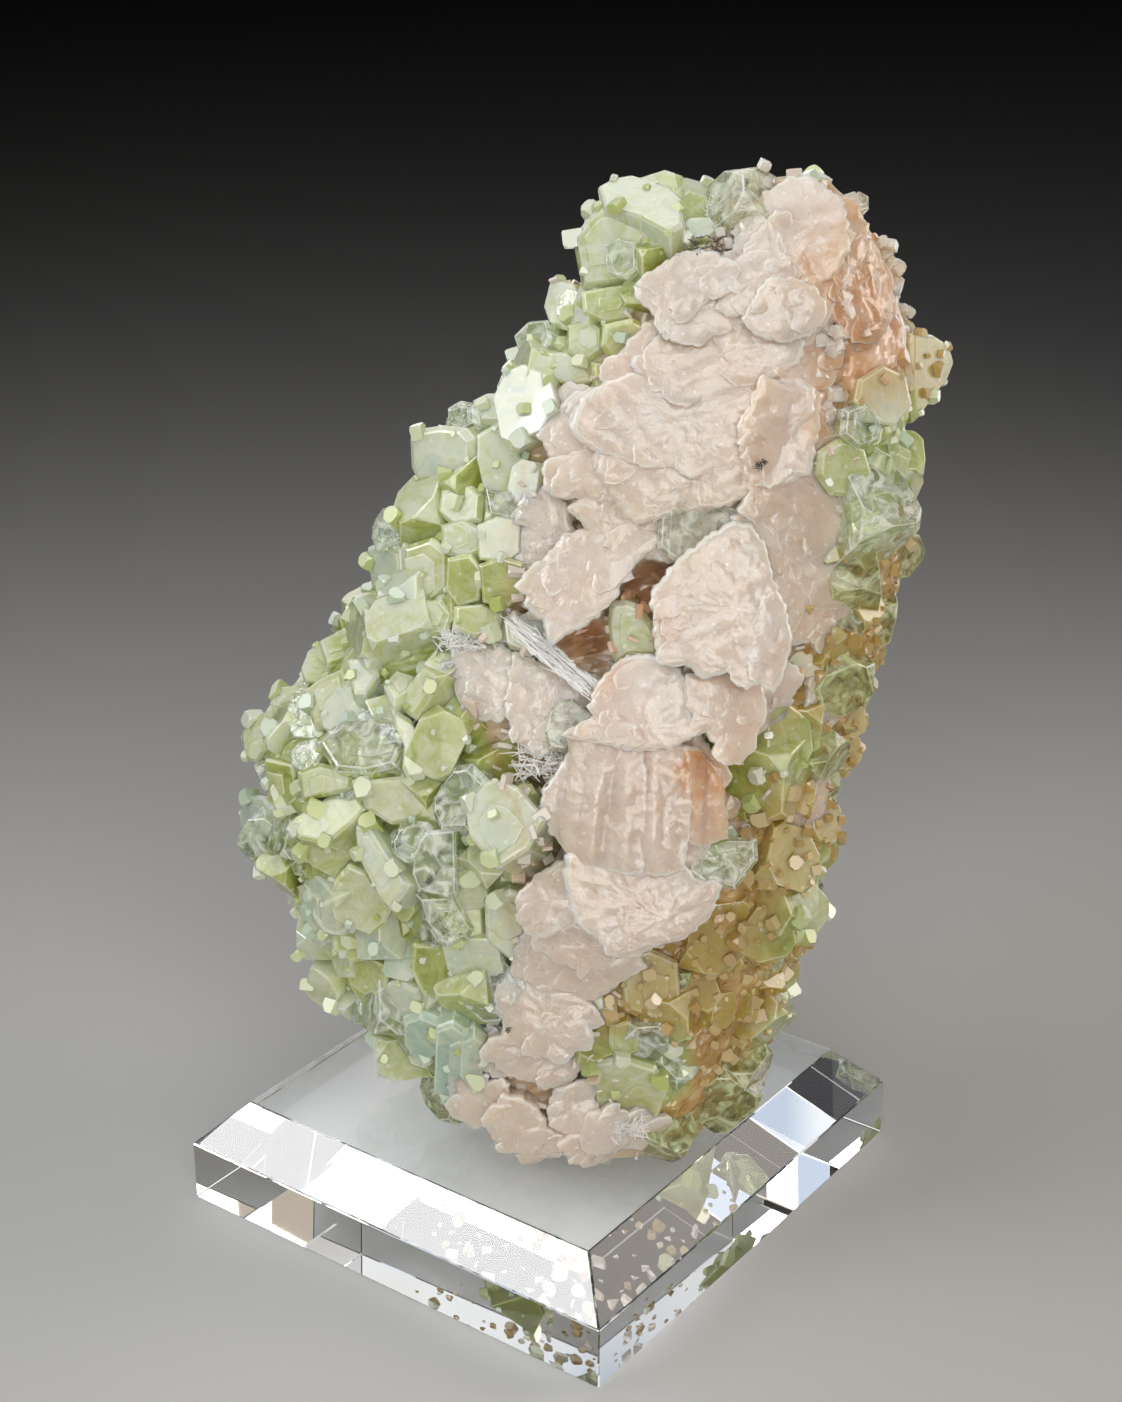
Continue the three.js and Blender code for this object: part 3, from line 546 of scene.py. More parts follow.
# One main crystal and a few smaller ones grown parallel to it along its sides
def crystalGroup(place, width, breadth, length, tint, chance):
    shapes = [crystalAt(place, width, breadth, length, tint, chance, abs(tint) < growth["clearTint"])]
    for _ in range(chance.randint(*growth["satellites"])):
        size = chance.uniform(*growth["satelliteSize"])
        angle = chance.uniform(0, 2 * math.pi)
        lean = Matrix.Rotation(math.radians(chance.gauss(0, growth["satelliteLean"])), 4,
                               Vector((math.cos(angle), math.sin(angle), 0)))
        across = math.copysign(1, math.cos(angle)) * width * chance.uniform(*growth["satelliteShift"])
        along = math.copysign(1, math.sin(angle)) * breadth * chance.uniform(*growth["satelliteShift"])
        drop = -length * chance.uniform(*growth["satelliteDrop"])
        beside = place @ Matrix.Translation((across, along, drop)) @ lean
        shade = tint + chance.uniform(-0.25, 0.25)
        isClear = chance.random() < growth["clearShare"]
        shapes.append(crystalAt(beside, width * size, breadth * size, length * growth["satelliteLength"],
                                shade, chance, isClear))
    return shapes


# A crystal with a known front face, at times with a low growth step upon that face
def outlinedCrystal(place, outline, depth, tint, clear, chance):
    radius = sum(math.hypot(x, y) for x, y in outline) / len(outline)
    slope = radius * chance.uniform(*growth["slope"])
    drop = slope * chance.uniform(*growth["steepness"])
    bevel = max(growth["leastBevel"], growth["outlineBevelShare"] * radius)
    shapes = [(outlinePrism(outline, slope, drop, depth, 0.0, bevel), tint)]
    if chance.randint(0, 1):
        size = chance.uniform(*growth["stepSize"])
        shift = Vector((chance.uniform(-0.2, 0.2), chance.uniform(-0.2, 0.2))) * radius
        small = [(x * size + shift.x, y * size + shift.y) for x, y in outline]
        lift = chance.uniform(*growth["stepLift"])
        shapes.append((outlinePrism(small, 0.25, 0.2, 1.0, lift, 0.07), tint + chance.uniform(-0.15, 0.1)))
    made = []
    for (points, faces, marks), shade in shapes:
        tints = [shade + chance.uniform(-1, 1) * growth["faceShade"] for _ in faces]
        made.append(([place @ point for point in points], faces, tints, marks, clear))
    return made


# The yaw and pitch in which a direction points
def facing(normal):
    return math.degrees(math.atan2(normal.x, -normal.y)), math.degrees(math.asin(max(-1, min(1, normal.z))))


# Smaller crystals that fill the ground between the listed ones, front and rear
def fillerCrystals(chance):
    taken = []
    for rows in apophyllites.values():
        taken += [(frontPoint(row[0], row[1], 0), max(row[3], row[4]) * 0.35) for row in rows]
    for rows in outlinedCrystals.values():
        taken += [(frontPoint(row[0], row[1], 0), 2.5) for row in rows]
    shapes = []
    small, large = growth["fillerSize"]
    for _ in range(growth["fillerTries"]):
        if len(shapes) == growth["fillers"]:
            break
        side = chance.choice((-1, -1, 1))                   # two of three grow on the front
        up = chance.uniform(25, 192)
        _, left, right, _, _, _, _ = between(matrixBody["levels"], up)
        across = chance.uniform(left + 1, right - 1)
        point = Vector((across, surfaceDepth(across, up, side), up))
        size = small + (large - small) * chance.random() ** growth["fillerSkew"]
        green, pale, rust = zoneWeights(point)
        space = growth["fillerSpace"] * 0.45
        crowded = any((point - other).length < space + reach * 0.55 for other, reach in taken)
        if pale > 0.5 or rust > 0.4 or crowded:
            continue
        taken.append((point, size * 0.5))
        yaw, pitch = facing(surfaceNormal(across, up, side))
        yaw += chance.gauss(0, 20)
        pitch += chance.gauss(8, 18)
        tint = chance.uniform(-0.4, 0.9) if green > 0.5 else chance.uniform(0.85, 1.2)
        proud = size * chance.uniform(0.2, 0.6)
        outward = surfaceNormal(across, up, side)
        place = aim(point + outward * proud, yaw, pitch, chance.uniform(0, 90))
        breadth = size * chance.uniform(0.7, 1.2)
        isClear = chance.random() < growth["clearShare"]
        shapes.append(crystalAt(place, size, breadth, size * 1.5, tint, chance, isClear))
    return shapes


def makeCrystals(milky, clear):
    chance = random.Random(growth["seed"])
    shapes = []
    for rows in apophyllites.values():
        for across, up, proud, width, breadth, length, yaw, pitch, spin, tint in rows:
            place = aim(frontPoint(across, up, proud), yaw, pitch, spin)
            shapes += crystalGroup(place, width, breadth, length, tint, chance)
    for rows in outlinedCrystals.values():
        for across, up, proud, yaw, pitch, depth, tint, isClear, outline in rows:
            place = aim(frontPoint(across, up, proud), yaw, pitch, 0)
            larger = readOutline(outline, growth["overlap"])
            shapes += outlinedCrystal(place, larger, depth, tint, isClear, chance)
    shapes += fillerCrystals(chance)
    milkyShapes = [shape[:4] for shape in shapes if not shape[4]]
    clearShapes = [shape[:4] for shape in shapes if shape[4]]
    mass = joinShapes("apophyllite_on_matrix", [matrixShape()] + milkyShapes, milky)
    glassy = joinShapes("clear_apophyllites", clearShapes, clear)
    return mass, glassy


# Stilbite plates

# Large plates whose outline is seen clearly: the outline in millimetres on the plate's own plane
outlinedPlates = {
    # across, up, proud, yaw, pitch, thickness, warmth, outline
    "leaf blade": [
        (7.2, 136.3, 10, -14, 30, 5, 0,
         "1,9.1 -0.2,7.8 -4.4,5.7 -6.3,2.8 -7.8,0.6 -8.7,-2.1 -9.5,-4.8 -9.5,-6.2 -7.8,-7.4 -6.2,-7.8 "
         "-5.4,-10.1 -4.2,-12.1 -1.6,-9.8 0.9,-8.5 2.7,-6.7 3.9,-4.8 5.3,-1.8 7.5,1.5 9,3.3 10.8,5.2 "
         "11.2,6.8 8.4,8.3 4.7,9.9"),
    ],
    "broad plate": [
        (32.8, 132.6, 13, 2, 24, 6, 0.05,
         "-13.9,0.8 -13.5,-2 -13.2,-5.4 -12.6,-8.7 -8.4,-9.1 -5.9,-10.8 -0.9,-10.2 2.5,-10.9 3.8,-13 "
         "5.1,-13.6 6.4,-12 7.4,-9.7 8.3,-5.6 8,-1.9 7.4,1.1 6.2,2.8 5.3,6.1 4.3,10.3 2.4,12.9 -0.5,13.6 "
         "-3,12.6 -5.1,11.1 -7.6,9.1 -9.8,7.2 -11.2,5.2 -13.4,3.4"),
        (37.9, 127.9, 14, 14, 20, 3, -0.1,
         "-2.9,2.3 -3.9,-2 -2.1,-5.5 -0.4,-8.2 2,-4.9 3.2,-0.6 2.9,6.2 1.6,7.6 -0.8,6.2"),
    ],
    "sheaf crown": [
        (16, 113.5, 15, -10, 30, 8, 0.05,
         "-6.8,6.5 -8.3,4.1 -7.5,2.8 -6.6,0.2 -8.6,-0.5 -11.3,-1.4 -12.2,-2.6 -9.7,-3.1 -6.3,-3.6 "
         "0.6,-4.3 5.6,-3.2 9.2,-1.1 7.9,2.2 7.2,6.4 6,9.4 4.1,10.6 1.9,11.3 -2.4,11.2 -4,10.4 -5.2,8.6"),
        (31.1, 115.9, 13, 14, 26, 7, 0.35,
         "-6.7,1.5 -5.7,-2 -4.1,-3.5 -2.6,-5.7 -1.3,-8.3 0.5,-9 2.4,-6.7 4.3,-5.2 5.9,-2.8 6.7,-0.3 "
         "6.6,2.3 5.5,4.8 3,6.2 -0.6,6.4 -4.1,6.4 -6.3,5.9"),
    ],
    "sheaf body": [
        (9.6, 98.9, 13, -14, 12, 10, 0.1,
         "-5.7,8.2 -7,5.8 -7.7,3.4 -9.2,1.7 -9.7,-0.1 -9.3,-2.9 -7.4,-6.1 -5.5,-8.2 -3.3,-10.2 2.4,-11 "
         "7.8,-10.9 7.7,-3.5 7.4,5.2 6.4,10.3 1.2,10.7 -3.2,11.1 -6.5,11.1"),
        (20, 98.9, 14, -2, 12, 10, 0.25,
         "-4.6,-2 -4.2,-11.1 0,-11.3 4,-10.3 4.2,-8 4.9,-1.8 4.8,6 3.7,10.3 0,11 -4.4,10.6"),
        (27.2, 99.7, 12, 18, 8, 9, 0.8,
         "-3.7,0.5 -2.9,-6.5 -0.7,-8.2 1.5,-8 4.1,-7 4.4,-2.8 4,1.6 2.2,5 -0.2,8.6 -3.4,9.7"),
    ],
    "sheaf foot": [
        (20.1, 79.1, 14, 4, 16, 7, 0.15,
         "-15.3,7.6 -14.7,4 -13.7,0.5 -12.2,-2 -9.6,-3.5 -6.7,-4.3 -3.6,-4.2 -0.1,-4.4 3.7,-3.8 6,-2.3 "
         "6.7,-0.5 7.9,1 9.5,2.9 10.4,5 9.2,6.4 7.3,5.8 5.2,6.9 4.2,8.7 1.8,8.4 -3.4,9.3 -10.3,10.5 "
         "-15.1,11"),
        (1.2, 80.9, 12, -14, 14, 7, 0,
         "-1.6,4.8 -4.2,2.5 -5.7,0.5 -5.9,-1.5 -5.2,-3.9 -3.7,-5.9 -1.5,-6.7 1.1,-5.6 4.1,-3.9 5,-2 "
         "5,0.7 4.6,4.2 3.4,7.6 0.6,6.6"),
        (6.1, 71.2, 10, -6, 4, 7, 0.1,
         "-7.3,-0.3 -5.9,-2 -3.2,-3.2 0.3,-4.1 3.1,-4.3 5.2,-3.3 6.6,-0.5 8.2,1.1 3.7,2.6 0.2,4.7 -4.2,3 "
         "-7.5,2"),
    ],
    "crown mass": [
        (23.8, 182.5, 7, -12, 30, 5, 0,
         "-8.4,-0.7 -7.5,-2.4 -6,-4 -4.1,-6 -1.6,-6.7 0.7,-6.8 1.6,-5.4 2.6,-3.6 4,-2.1 5.9,-0.7 7.9,1.3 "
         "8.9,2.6 8.4,3.9 5.7,4.8 2.2,6 -1.2,5.5 -3.9,3.7 -6.2,1.3"),
        (35.9, 183.2, 6, 0, 30, 5, 0.05,
         "-3.4,0.6 -5.4,-1.8 -6.9,-4.2 -5.1,-5.7 -1.8,-4.9 1.9,-3.1 4.9,-1.4 7,1 5,4.1 0,5.4 -3.9,3.4"),
        (40.3, 179.4, 8, 6, 24, 4, -0.2,
         "-4.2,-4.3 -0.5,-5 3.6,-4.1 6,-1.9 6.5,0.8 4.6,3.5 1.3,5.2 -2.1,5.3 -4.9,2.1 -6.9,-1.2"),
    ],
    "upper mass": [
        (30, 171.6, 5.7, -4, 26, 8, 0.1,
         "-12.1,0.2 -14.1,-0.5 -14.4,-2.2 -12.8,-3.2 -11.1,-4.8 -8.2,-6.8 -2.7,-7.7 4.4,-5.9 8.3,-3.4 "
         "12.2,-0.7 13.1,2.2 10.8,4.7 6,8.6 0.7,7.2 -3.9,5.6 -7.2,3.2 -10.5,1.9"),
        (24.9, 161.3, 6.7, -4, 24, 9, 0.15,
         "-18.4,1.4 -19,-2.3 -15.2,-4.9 -9.8,-6.8 -5.1,-7.4 2.9,-8.2 10.5,-6.4 15.7,-1.9 19,1.5 18.8,5.5 "
         "15.8,7.8 8.7,6.6 1.2,5 -4.7,6.4 -8.9,7.6 -13.5,6 -17.2,3.9"),
        (4.1, 161.1, 4.7, -16, 24, 5, -0.1,
         "-4.6,-1.4 -2.7,-3.6 0,-3.9 2.5,-2.7 3.7,-0.4 4.1,1.7 3.2,3.7 -0.4,3.9 -3.6,1.1"),
        (8.8, 151.6, 7.7, -10, 26, 6, 0.1,
         "-8.4,-2.5 -5.7,-3.9 -0.6,-3.9 4.8,-3.6 9.1,-1.5 8.3,1.8 5.3,3.3 1.1,4.8 -1.2,4.4 -4.6,3.2 -7.9,2.3 "
         "-8.7,0.6"),
        (21.7, 150.5, 5.7, -2, 18, 8, 0.1,
         "-10.1,0.2 -11.4,-3.8 -8,-6.5 -3.3,-9.1 -1.6,-5.7 3.1,-3.7 7.3,-4.3 11.2,-5.6 14.5,-2.2 "
         "14.1,1.5 11.7,4.8 4.6,3.9 -5.5,4.6 -11.9,6.6"),
        (41.4, 156.8, 4.7, 16, 18, 6, 0.5,
         "-8.4,-1.7 -8.2,-4.3 -5.9,-6.5 -2.5,-8.5 1.2,-6.8 2.6,-2.9 5.3,-0.5 7,2.8 8.1,7.7 6.6,10.8 3.8,7.7 "
         "-0.1,4.3 -5.6,1.4"),
        (44.8, 170.1, 3.7, 18, 20, 5, 0.7,
         "-5.7,-0.7 -4.2,-3.8 -0.4,-5.1 3.8,-3.5 5,0.5 3.9,4.2 0.8,5.8 -3.5,2.5"),
        (23.3, 143, 4.7, 6, 30, 5, -0.45,
         "-5,-2.1 -3.5,-5.2 -0.8,-5.3 2.1,-2.4 5.4,0.3 5.6,3.4 1.9,4.9 -2,3.7 -4.3,1.3"),
        (40.6, 139.3, 6.7, 20, 14, 7, 0.2,
         "-7.4,4.3 -4.3,0.6 -2.9,-4.7 -0.5,-8.1 0.1,-14.3 2.6,-10.9 5.5,-5 5.7,1.1 4.9,5.3 1.8,8 "
         "-3.7,8.6 -8.4,6.8"),
    ],
    "left foot plates": [
        (-10.3, 115.4, 4, -8, 26, 5, -0.25,
         "-6.3,1.9 -4.6,-3.3 -1.3,-6.8 3.1,-7.2 5.5,-3.6 6,3.1 2.3,5.9 -5.7,6.3"),
        (-0.5, 112.2, 5, -4, 24, 5, -0.3,
         "-5.8,3.1 -5.7,-2.1 -3.4,-6.7 0.1,-8.9 3.5,-6.2 6,-1.8 7.6,2.6 3.2,5.6 -4.7,8.3"),
    ],
}

stilbitePlates = {
    # across, up, proud, width, height, thickness, yaw, pitch, spin, warmth
    "pale peak": [
        (42, 190, 4, 19, 21, 9, -15, 32, 0, 0.0), (49, 188, 3, 13, 18, 8, 12, 30, -20, 0.9),
        (36, 187, 4, 9, 15, 8, -25, 30, 15, 0.0), (53, 180, 3, 12, 20, 7, 30, 20, 0, 1.0),
    ],
    "under the large sheets": [
        (24, 169, 4.8, 34, 24, 9, -6, 25, 30, 0.1), (28, 159, 5.6, 42, 28, 10, -4, 25, 22, 0.2),
        (12, 157, 4.8, 28, 22, 8, -10, 25, 15, 0.05), (24, 147, 5.2, 38, 20, 7, 0, 20, 10, 0.1),
        (-1, 140, 4.5, 12, 17, 6, -15, 20, 0, -0.1), (0, 131, 4, 10, 13, 6, -15, 20, 10, 0.3),
        (0, 45, 5, 20, 12, 8, 0, 5, 0, 0.1),
        (43, 152, 5, 20, 38, 7, 20, 10, 15, 0.45), (44, 134, 5, 17, 26, 6, 22, 10, 0, 0.3),
        (30, 181, 5, 26, 14, 8, 0, 30, 15, 0.1), (41, 183, 4, 20, 26, 8, 0, 25, 0, 0.2),
        (17, 98, 10, 30, 38, 9, 0, 10, 0, 0.4), (12, 77, 9, 34, 18, 8, 0, 6, 5, 0.2),
        (5, 66, 6, 26, 18, 8, -4, 4, 0, 0.2), (34, 120, 7, 18, 30, 8, 12, 10, 0, 0.3),
    ],
    "foot": [
        (0, 56, 7, 19, 19, 9, -8, 15, -20, 0.0), (-12, 34, 6, 13, 12, 9, -20, 5, 0, 0.1),
        (-5, 31, 7, 12, 13, 9, -5, 0, 10, 0.0), (5, 35, 6, 11, 12, 9, 0, 10, 0, 0.2),
        (11, 31, 6, 12, 11, 9, 10, 0, 15, 0.0), (-1, 26, 5, 13, 10, 9, -8, -20, 0, 0.1),
        (8, 27, 5, 12, 9, 9, 8, -20, 0, 0.15), (17, 30, 4, 11, 10, 8, 15, -5, 0, 0.1),
        (-9, 45, 4, 12, 10, 8, -10, 5, 0, 0.0),
    ],
    "right-hand side": [
        (50, 128, 3, 12, 16, 6, 35, 5, 0, 0.3), (49, 112, 3, 11, 14, 6, 40, 5, 0, 0.5),
        (47, 94, 3, 12, 16, 6, 35, 5, 0, 0.6),
    ],
}

plateForm = {
    "rimStep": 0.66, "ringStep": 0.8, "rimThickness": 0.9, "lobe": 2.0, "serration": 0.4, "dome": 0.035,
    "ledge": 0.22, "ledgePeriod": 5.6, "ledgeRise": 0.12, "wave": 0.4, "grit": 0.14,
    "corners": (7, 10), "cornerReach": (0.85, 1.1), "overlap": 1.08,
    # the last rings before the rim: share of the way out, and drop as a share of the rim's thickness
    "rimRings": [(0.965, 0.12), (0.99, 0.4), (1.0, 0.75)],
    # the direction in degrees in which the ledges run, and how high the ribs across it stand
    "grain": (205, 0.2), "sheafGrain": (270, 1.2), "lowerGrain": (200, 0.25),
    "lowerRims": 0.4,             # how much of the painted highlight shows on the rims of the plates under the large ones
}


def randomOutline(width, height, chance):
    count = chance.randint(*plateForm["corners"])
    first = chance.uniform(0, 2 * math.pi / count)
    outline = []
    for k in range(count):
        angle = first + 2 * math.pi * (k + chance.uniform(-0.2, 0.2)) / count
        reach = chance.uniform(*plateForm["cornerReach"])
        outline.append((width / 2 * reach * math.cos(angle), height / 2 * reach * math.sin(angle)))
    return outline


# A sheet with a finely scalloped rim whose front is a stack of thin overlapping ledges, facing +Z
def plateShape(outline, thickness, grain, ridges, chance):
    form = plateForm
    corners = outline + outline[:1]
    spans = [math.dist(a, b) for a, b in zip(corners, corners[1:])]
    girth = sum(spans)
    around = int(min(max(girth / form["rimStep"], 30), 170))
    rim, index, passed = [], 0, 0.0
    for i in range(around):
        target = girth * i / around
        while passed + spans[index] < target:
            passed += spans[index]
            index += 1
        share = (target - passed) / spans[index]
        rim.append(Vector(corners[index]).lerp(Vector(corners[index + 1]), share))
    radius = sum(point.length for point in rim) / around
    inner = max(5, round(radius / form["ringStep"]))
    shares = [(0.93 * (k + 1) / inner, 0.0) for k in range(inner)] + form["rimRings"]
    shift = Vector((chance.uniform(0, 90), chance.uniform(0, 90), chance.uniform(0, 90)))
    lobes = max(5, round(girth / form["lobe"]))
    c, s = math.cos(math.radians(grain)), math.sin(math.radians(grain))
    points, scarps = [Vector((0, 0, 0))], [False]
    for share, drop in shares:
        for i, edge in enumerate(rim):
            turn = i / around
            stray = 3 * noise.noise(Vector((edge.x, edge.y, 0)) * 0.12 + shift)
            tooth = abs(math.sin(math.pi * lobes * turn + stray))
            uneven = 1.4 * noise.noise(Vector((edge.x, edge.y, 3)) * 0.5 + shift)
            tooth = form["serration"] * (tooth - 0.6 + uneven)
            flat = edge * share + edge.normalized() * tooth * share ** 6
            along, side = flat.x * c + flat.y * s, flat.y * c - flat.x * s
            here = Vector((flat.x, flat.y, 0)) * 0.09 + shift
            wave = along / form["ledgePeriod"] + 1.3 * noise.noise(here * 0.8) + 0.3 * noise.noise(here * 4)
            wave += 0.1 * abs(math.sin(1.2 * side + 3 * noise.noise(here * 2)))
            part, rise = wave - math.floor(wave), form["ledgeRise"]
            fade = 1 - smoothStep(0.8, 0.97, share)
            z = form["ledge"] * fade * (part / rise if part < rise else 1 - (part - rise) / (1 - rise))
            z += form["dome"] * radius * 2 * (1 - share * share) - drop * form["rimThickness"]
            z += form["wave"] * noise.noise(here * 1.4) + 0.15 * noise.noise(here * 4.5)
            z += form["grit"] * noise.noise(here * 11.0)
            z += ridges * noise.noise(Vector((side * 0.42, along * 0.05, 0)) + shift)
            points.append(Vector((flat.x, flat.y, z)))
            scarps.append(part < rise and share < 0.9)
    rings = len(shares)
    last = 1 + (rings - 1) * around
    rearRings = ((0.97, 0.6 * form["rimThickness"]), (0.85, 0.4 * thickness + 0.4), (0.62, thickness))
    for inset, depth in rearRings:
        for i in range(around):
            edge = points[last + i]
            points.append(Vector((edge.x * inset, edge.y * inset, min(edge.z, 0) - depth)))
            scarps.append(False)
    points.append(Vector((0, 0, -thickness - 1)))
    points[0].z = sum(points[1 + i].z for i in range(around)) / around
    faces, marks = [], []
    for ring in range(rings + 2):
        start = 1 + ring * around
        for i in range(around):
            j = (i + 1) % around
            face = (start + i, start + around + i, start + around + j, start + j)
            faces.append(face)
            # rim rings and ledge scarps are marked for a painted highlight in the material
            rimmed = rings - 4 <= ring <= rings - 1
            marks.append(1.0 if rimmed else 0.15 if sum(scarps[k] for k in face) > 1 else 0.0)
    low, bottom = 1 + (rings + 2) * around, len(points) - 1
    for i in range(around):
        j = (i + 1) % around
        faces += [(0, 1 + i, 1 + j), (bottom, low + j, low + i)]
        marks += [0.0, 0.0]
    return points, faces, marks


def plateAt(place, outline, thickness, warmth, grain, chance):
    points, faces, marks = plateShape(outline, thickness, *grain, chance)
    return [place @ point for point in points], faces, warmth, marks


# Thin blades that lie on a sheet like shingles, each with its free tip raised towards the grain's direction
shingles = {
    "areaEach": 15.0, "length": (4.0, 12.0), "slim": (0.4, 0.75), "lift": 0.28, "moreLift": 0.25,
    "tilt": (3.5, 9.0), "fan": 16, "reach": 0.62, "serration": 0.22, "toothSpacing": 0.75, "depth": 1.5,
    # the mark for a painted highlight along each blade's rim
    "rimMark": 0.8,
}


def shingleBlades(place, outline, warmth, grain, chance):
    form = shingles
    area = abs(sum(a[0] * b[1] - b[0] * a[1] for a, b in zip(outline, outline[1:] + outline[:1]))) / 2
    blades = []
    for _ in range(round(area / form["areaEach"])):
        corner = chance.choice(outline)
        share = math.sqrt(chance.uniform(0.0, form["reach"]))
        lift = form["lift"] + chance.uniform(0, form["moreLift"])
        spot = Matrix.Translation((corner[0] * share, corner[1] * share, lift))
        turn = Matrix.Rotation(math.radians(grain + chance.gauss(0, form["fan"])), 4, "Z")
        tilt = Matrix.Rotation(math.radians(-chance.uniform(*form["tilt"])), 4, "Y")
        length = chance.uniform(*form["length"]) * min(1.0, math.sqrt(area) / 14)
        rough = randomOutline(length, length * chance.uniform(*form["slim"]), chance)
        edge = []
        for (x1, y1), (x2, y2) in zip(rough, rough[1:] + rough[:1]):
            steps = max(1, round(math.hypot(x2 - x1, y2 - y1) / form["toothSpacing"]))
            for k in range(steps):
                t = k / steps
                grow = 1 + chance.uniform(-1, 1) * form["serration"] / (0.4 * length)
                edge.append(((x1 + (x2 - x1) * t) * grow, (y1 + (y2 - y1) * t) * grow))
        points, faces, marks = outlinePrism(edge, 0.3, 0.25, form["depth"], 0.0, 0.0)
        marks = [form["rimMark"] if 2 <= index < 2 + len(edge) else 0.0 for index in range(len(faces))]
        blades.append(([place @ spot @ turn @ tilt @ point for point in points], faces,
                       warmth + chance.uniform(-0.12, 0.12), marks))
    return blades


# White crusts of coarse grains along the crests at the upper right
crusts = {
    "lines": [
        # proud, then across and up of each point
        (4, [(50.9, 191.3), (51.6, 188.1), (51.0, 184.6), (49.8, 180.1), (48.6, 175.6), (47.7, 170.1)]),
        (3, [(57.9, 186.0), (59.5, 181.6), (60.6, 178.0), (63.1, 172.6), (62.4, 168.1)]),
        (3, [(47.8, 169.0), (48.5, 164.3), (48.0, 159.5), (47.0, 154.5)]),
        (2, [(50.7, 148.1), (52.3, 144.4), (52.8, 139.9), (52.3, 135.6)]),
        (4, [(38.4, 199.0), (35.5, 195.6), (33.0, 191.9), (31.1, 188.9)]),
    ],
    "spacing": 0.8, "spread": 0.9, "unevenness": 0.6, "size": (1.2, 2.6), "warmth": -0.35, "rimMark": 0.4,
}


def crustGrains(chance):
    grains = []
    for proud, line in crusts["lines"]:
        for (x1, z1), (x2, z2) in zip(line, line[1:]):
            count = max(2, round(math.hypot(x2 - x1, z2 - z1) / crusts["spacing"]))
            for k in range(count):
                t = k / count
                across = x1 + (x2 - x1) * t + chance.gauss(0, crusts["spread"])
                up = z1 + (z2 - z1) * t + chance.gauss(0, crusts["spread"])
                size = chance.uniform(*crusts["size"])
                stand = proud + chance.uniform(-crusts["unevenness"], crusts["unevenness"])
                yaw, pitch, spin = chance.uniform(-40, 70), chance.uniform(-10, 60), chance.uniform(0, 90)
                place = aim(frontPoint(across, up, stand), yaw, pitch, spin)
                breadth = size * chance.uniform(0.7, 1.2)
                points, faces, _ = crystalMesh(size, breadth, size * 1.4, chance, 0.0)
                marks = [crusts["rimMark"]] * len(faces)
                grains.append(([place @ point for point in points], faces, crusts["warmth"], marks))
    return grains


def makeStilbite(material):
    chance = random.Random(23)
    shapes = []
    for name, rows in outlinedPlates.items():
        for across, up, proud, yaw, pitch, thickness, warmth, outline in rows:
            place = aim(frontPoint(across, up, proud), yaw, pitch, 0)
            grain = plateForm["sheafGrain" if name == "sheaf body" else "grain"]
            larger = readOutline(outline, plateForm["overlap"])
            shapes.append(plateAt(place, larger, thickness, warmth, grain, chance))
            if name != "sheaf body":
                shapes += shingleBlades(place, readOutline(outline), warmth, grain[0], chance)
    for rows in stilbitePlates.values():
        for across, up, proud, width, height, thickness, yaw, pitch, spin, warmth in rows:
            place = aim(frontPoint(across, up, proud), yaw, pitch, spin)
            outline = randomOutline(width, height, chance)
            grain = plateForm["lowerGrain"]
            points, faces, warm, marks = plateAt(place, outline, thickness, warmth, grain, chance)
            shapes.append((points, faces, warm, [plateForm["lowerRims"] * mark for mark in marks]))
            shapes += shingleBlades(place, outline, warmth, grain[0], chance)
    thing = joinShapes("stilbite_plates", shapes + crustGrains(chance), material)
    thing.data.shade_smooth()
    thing.data.set_sharp_from_angle(angle=math.radians(50))
    return thing


# Tufts of hair-thin needles, white or dark
fibres = {
    # across, up, proud, yaw, pitch, spin, width, height, longest, count, fan in degrees, dark
    "rows": [
        (2.1, 121.3, 9, -14, 40, 57, 3.2, 17, 7, 170, 8, 0),
        (-14.2, 121.7, 6, -10, 50, 0, 8, 3, 4, 90, 40, 0),
        (-0.7, 102.3, 6, -5, 20, 0, 8, 5, 5, 110, 45, 0),
        (15.2, 31.4, 6, 5, 5, 0, 6, 4, 4, 70, 45, 0),
        (29.7, 191.8, 5, 0, 50, 0, 4, 3, 5, 60, 35, 0),
        (27.6, 188.3, 7, 0, 30, 0, 5, 3, 2.5, 46, 50, 1),
        (36.4, 155.3, 9, 8, 20, 0, 1.6, 1.6, 1.8, 24, 50, 1),
        (-6.7, 52.6, 9, -5, 10, 0, 1, 1, 1, 10, 50, 1),
    ],
    "thickness": 0.16, "rootDepth": (-1.2, 0.3), "lyingFan": 20,
    # 0 for white strands and 1 for dark ones, the seed, then the finish and its tones
    "strands": {
        "white_needles": (0, 31, "silky_white_needles", [(0.3, "#f4f4f2"), (0.7, "#ffffff")]),
        "dark_needles": (1, 32, "black_oxide_needles", [(0.3, "#1c1814"), (0.7, "#4a4038")]),
    },
    "cloud": 2.5,                 # size of the tones' pattern in mm
}


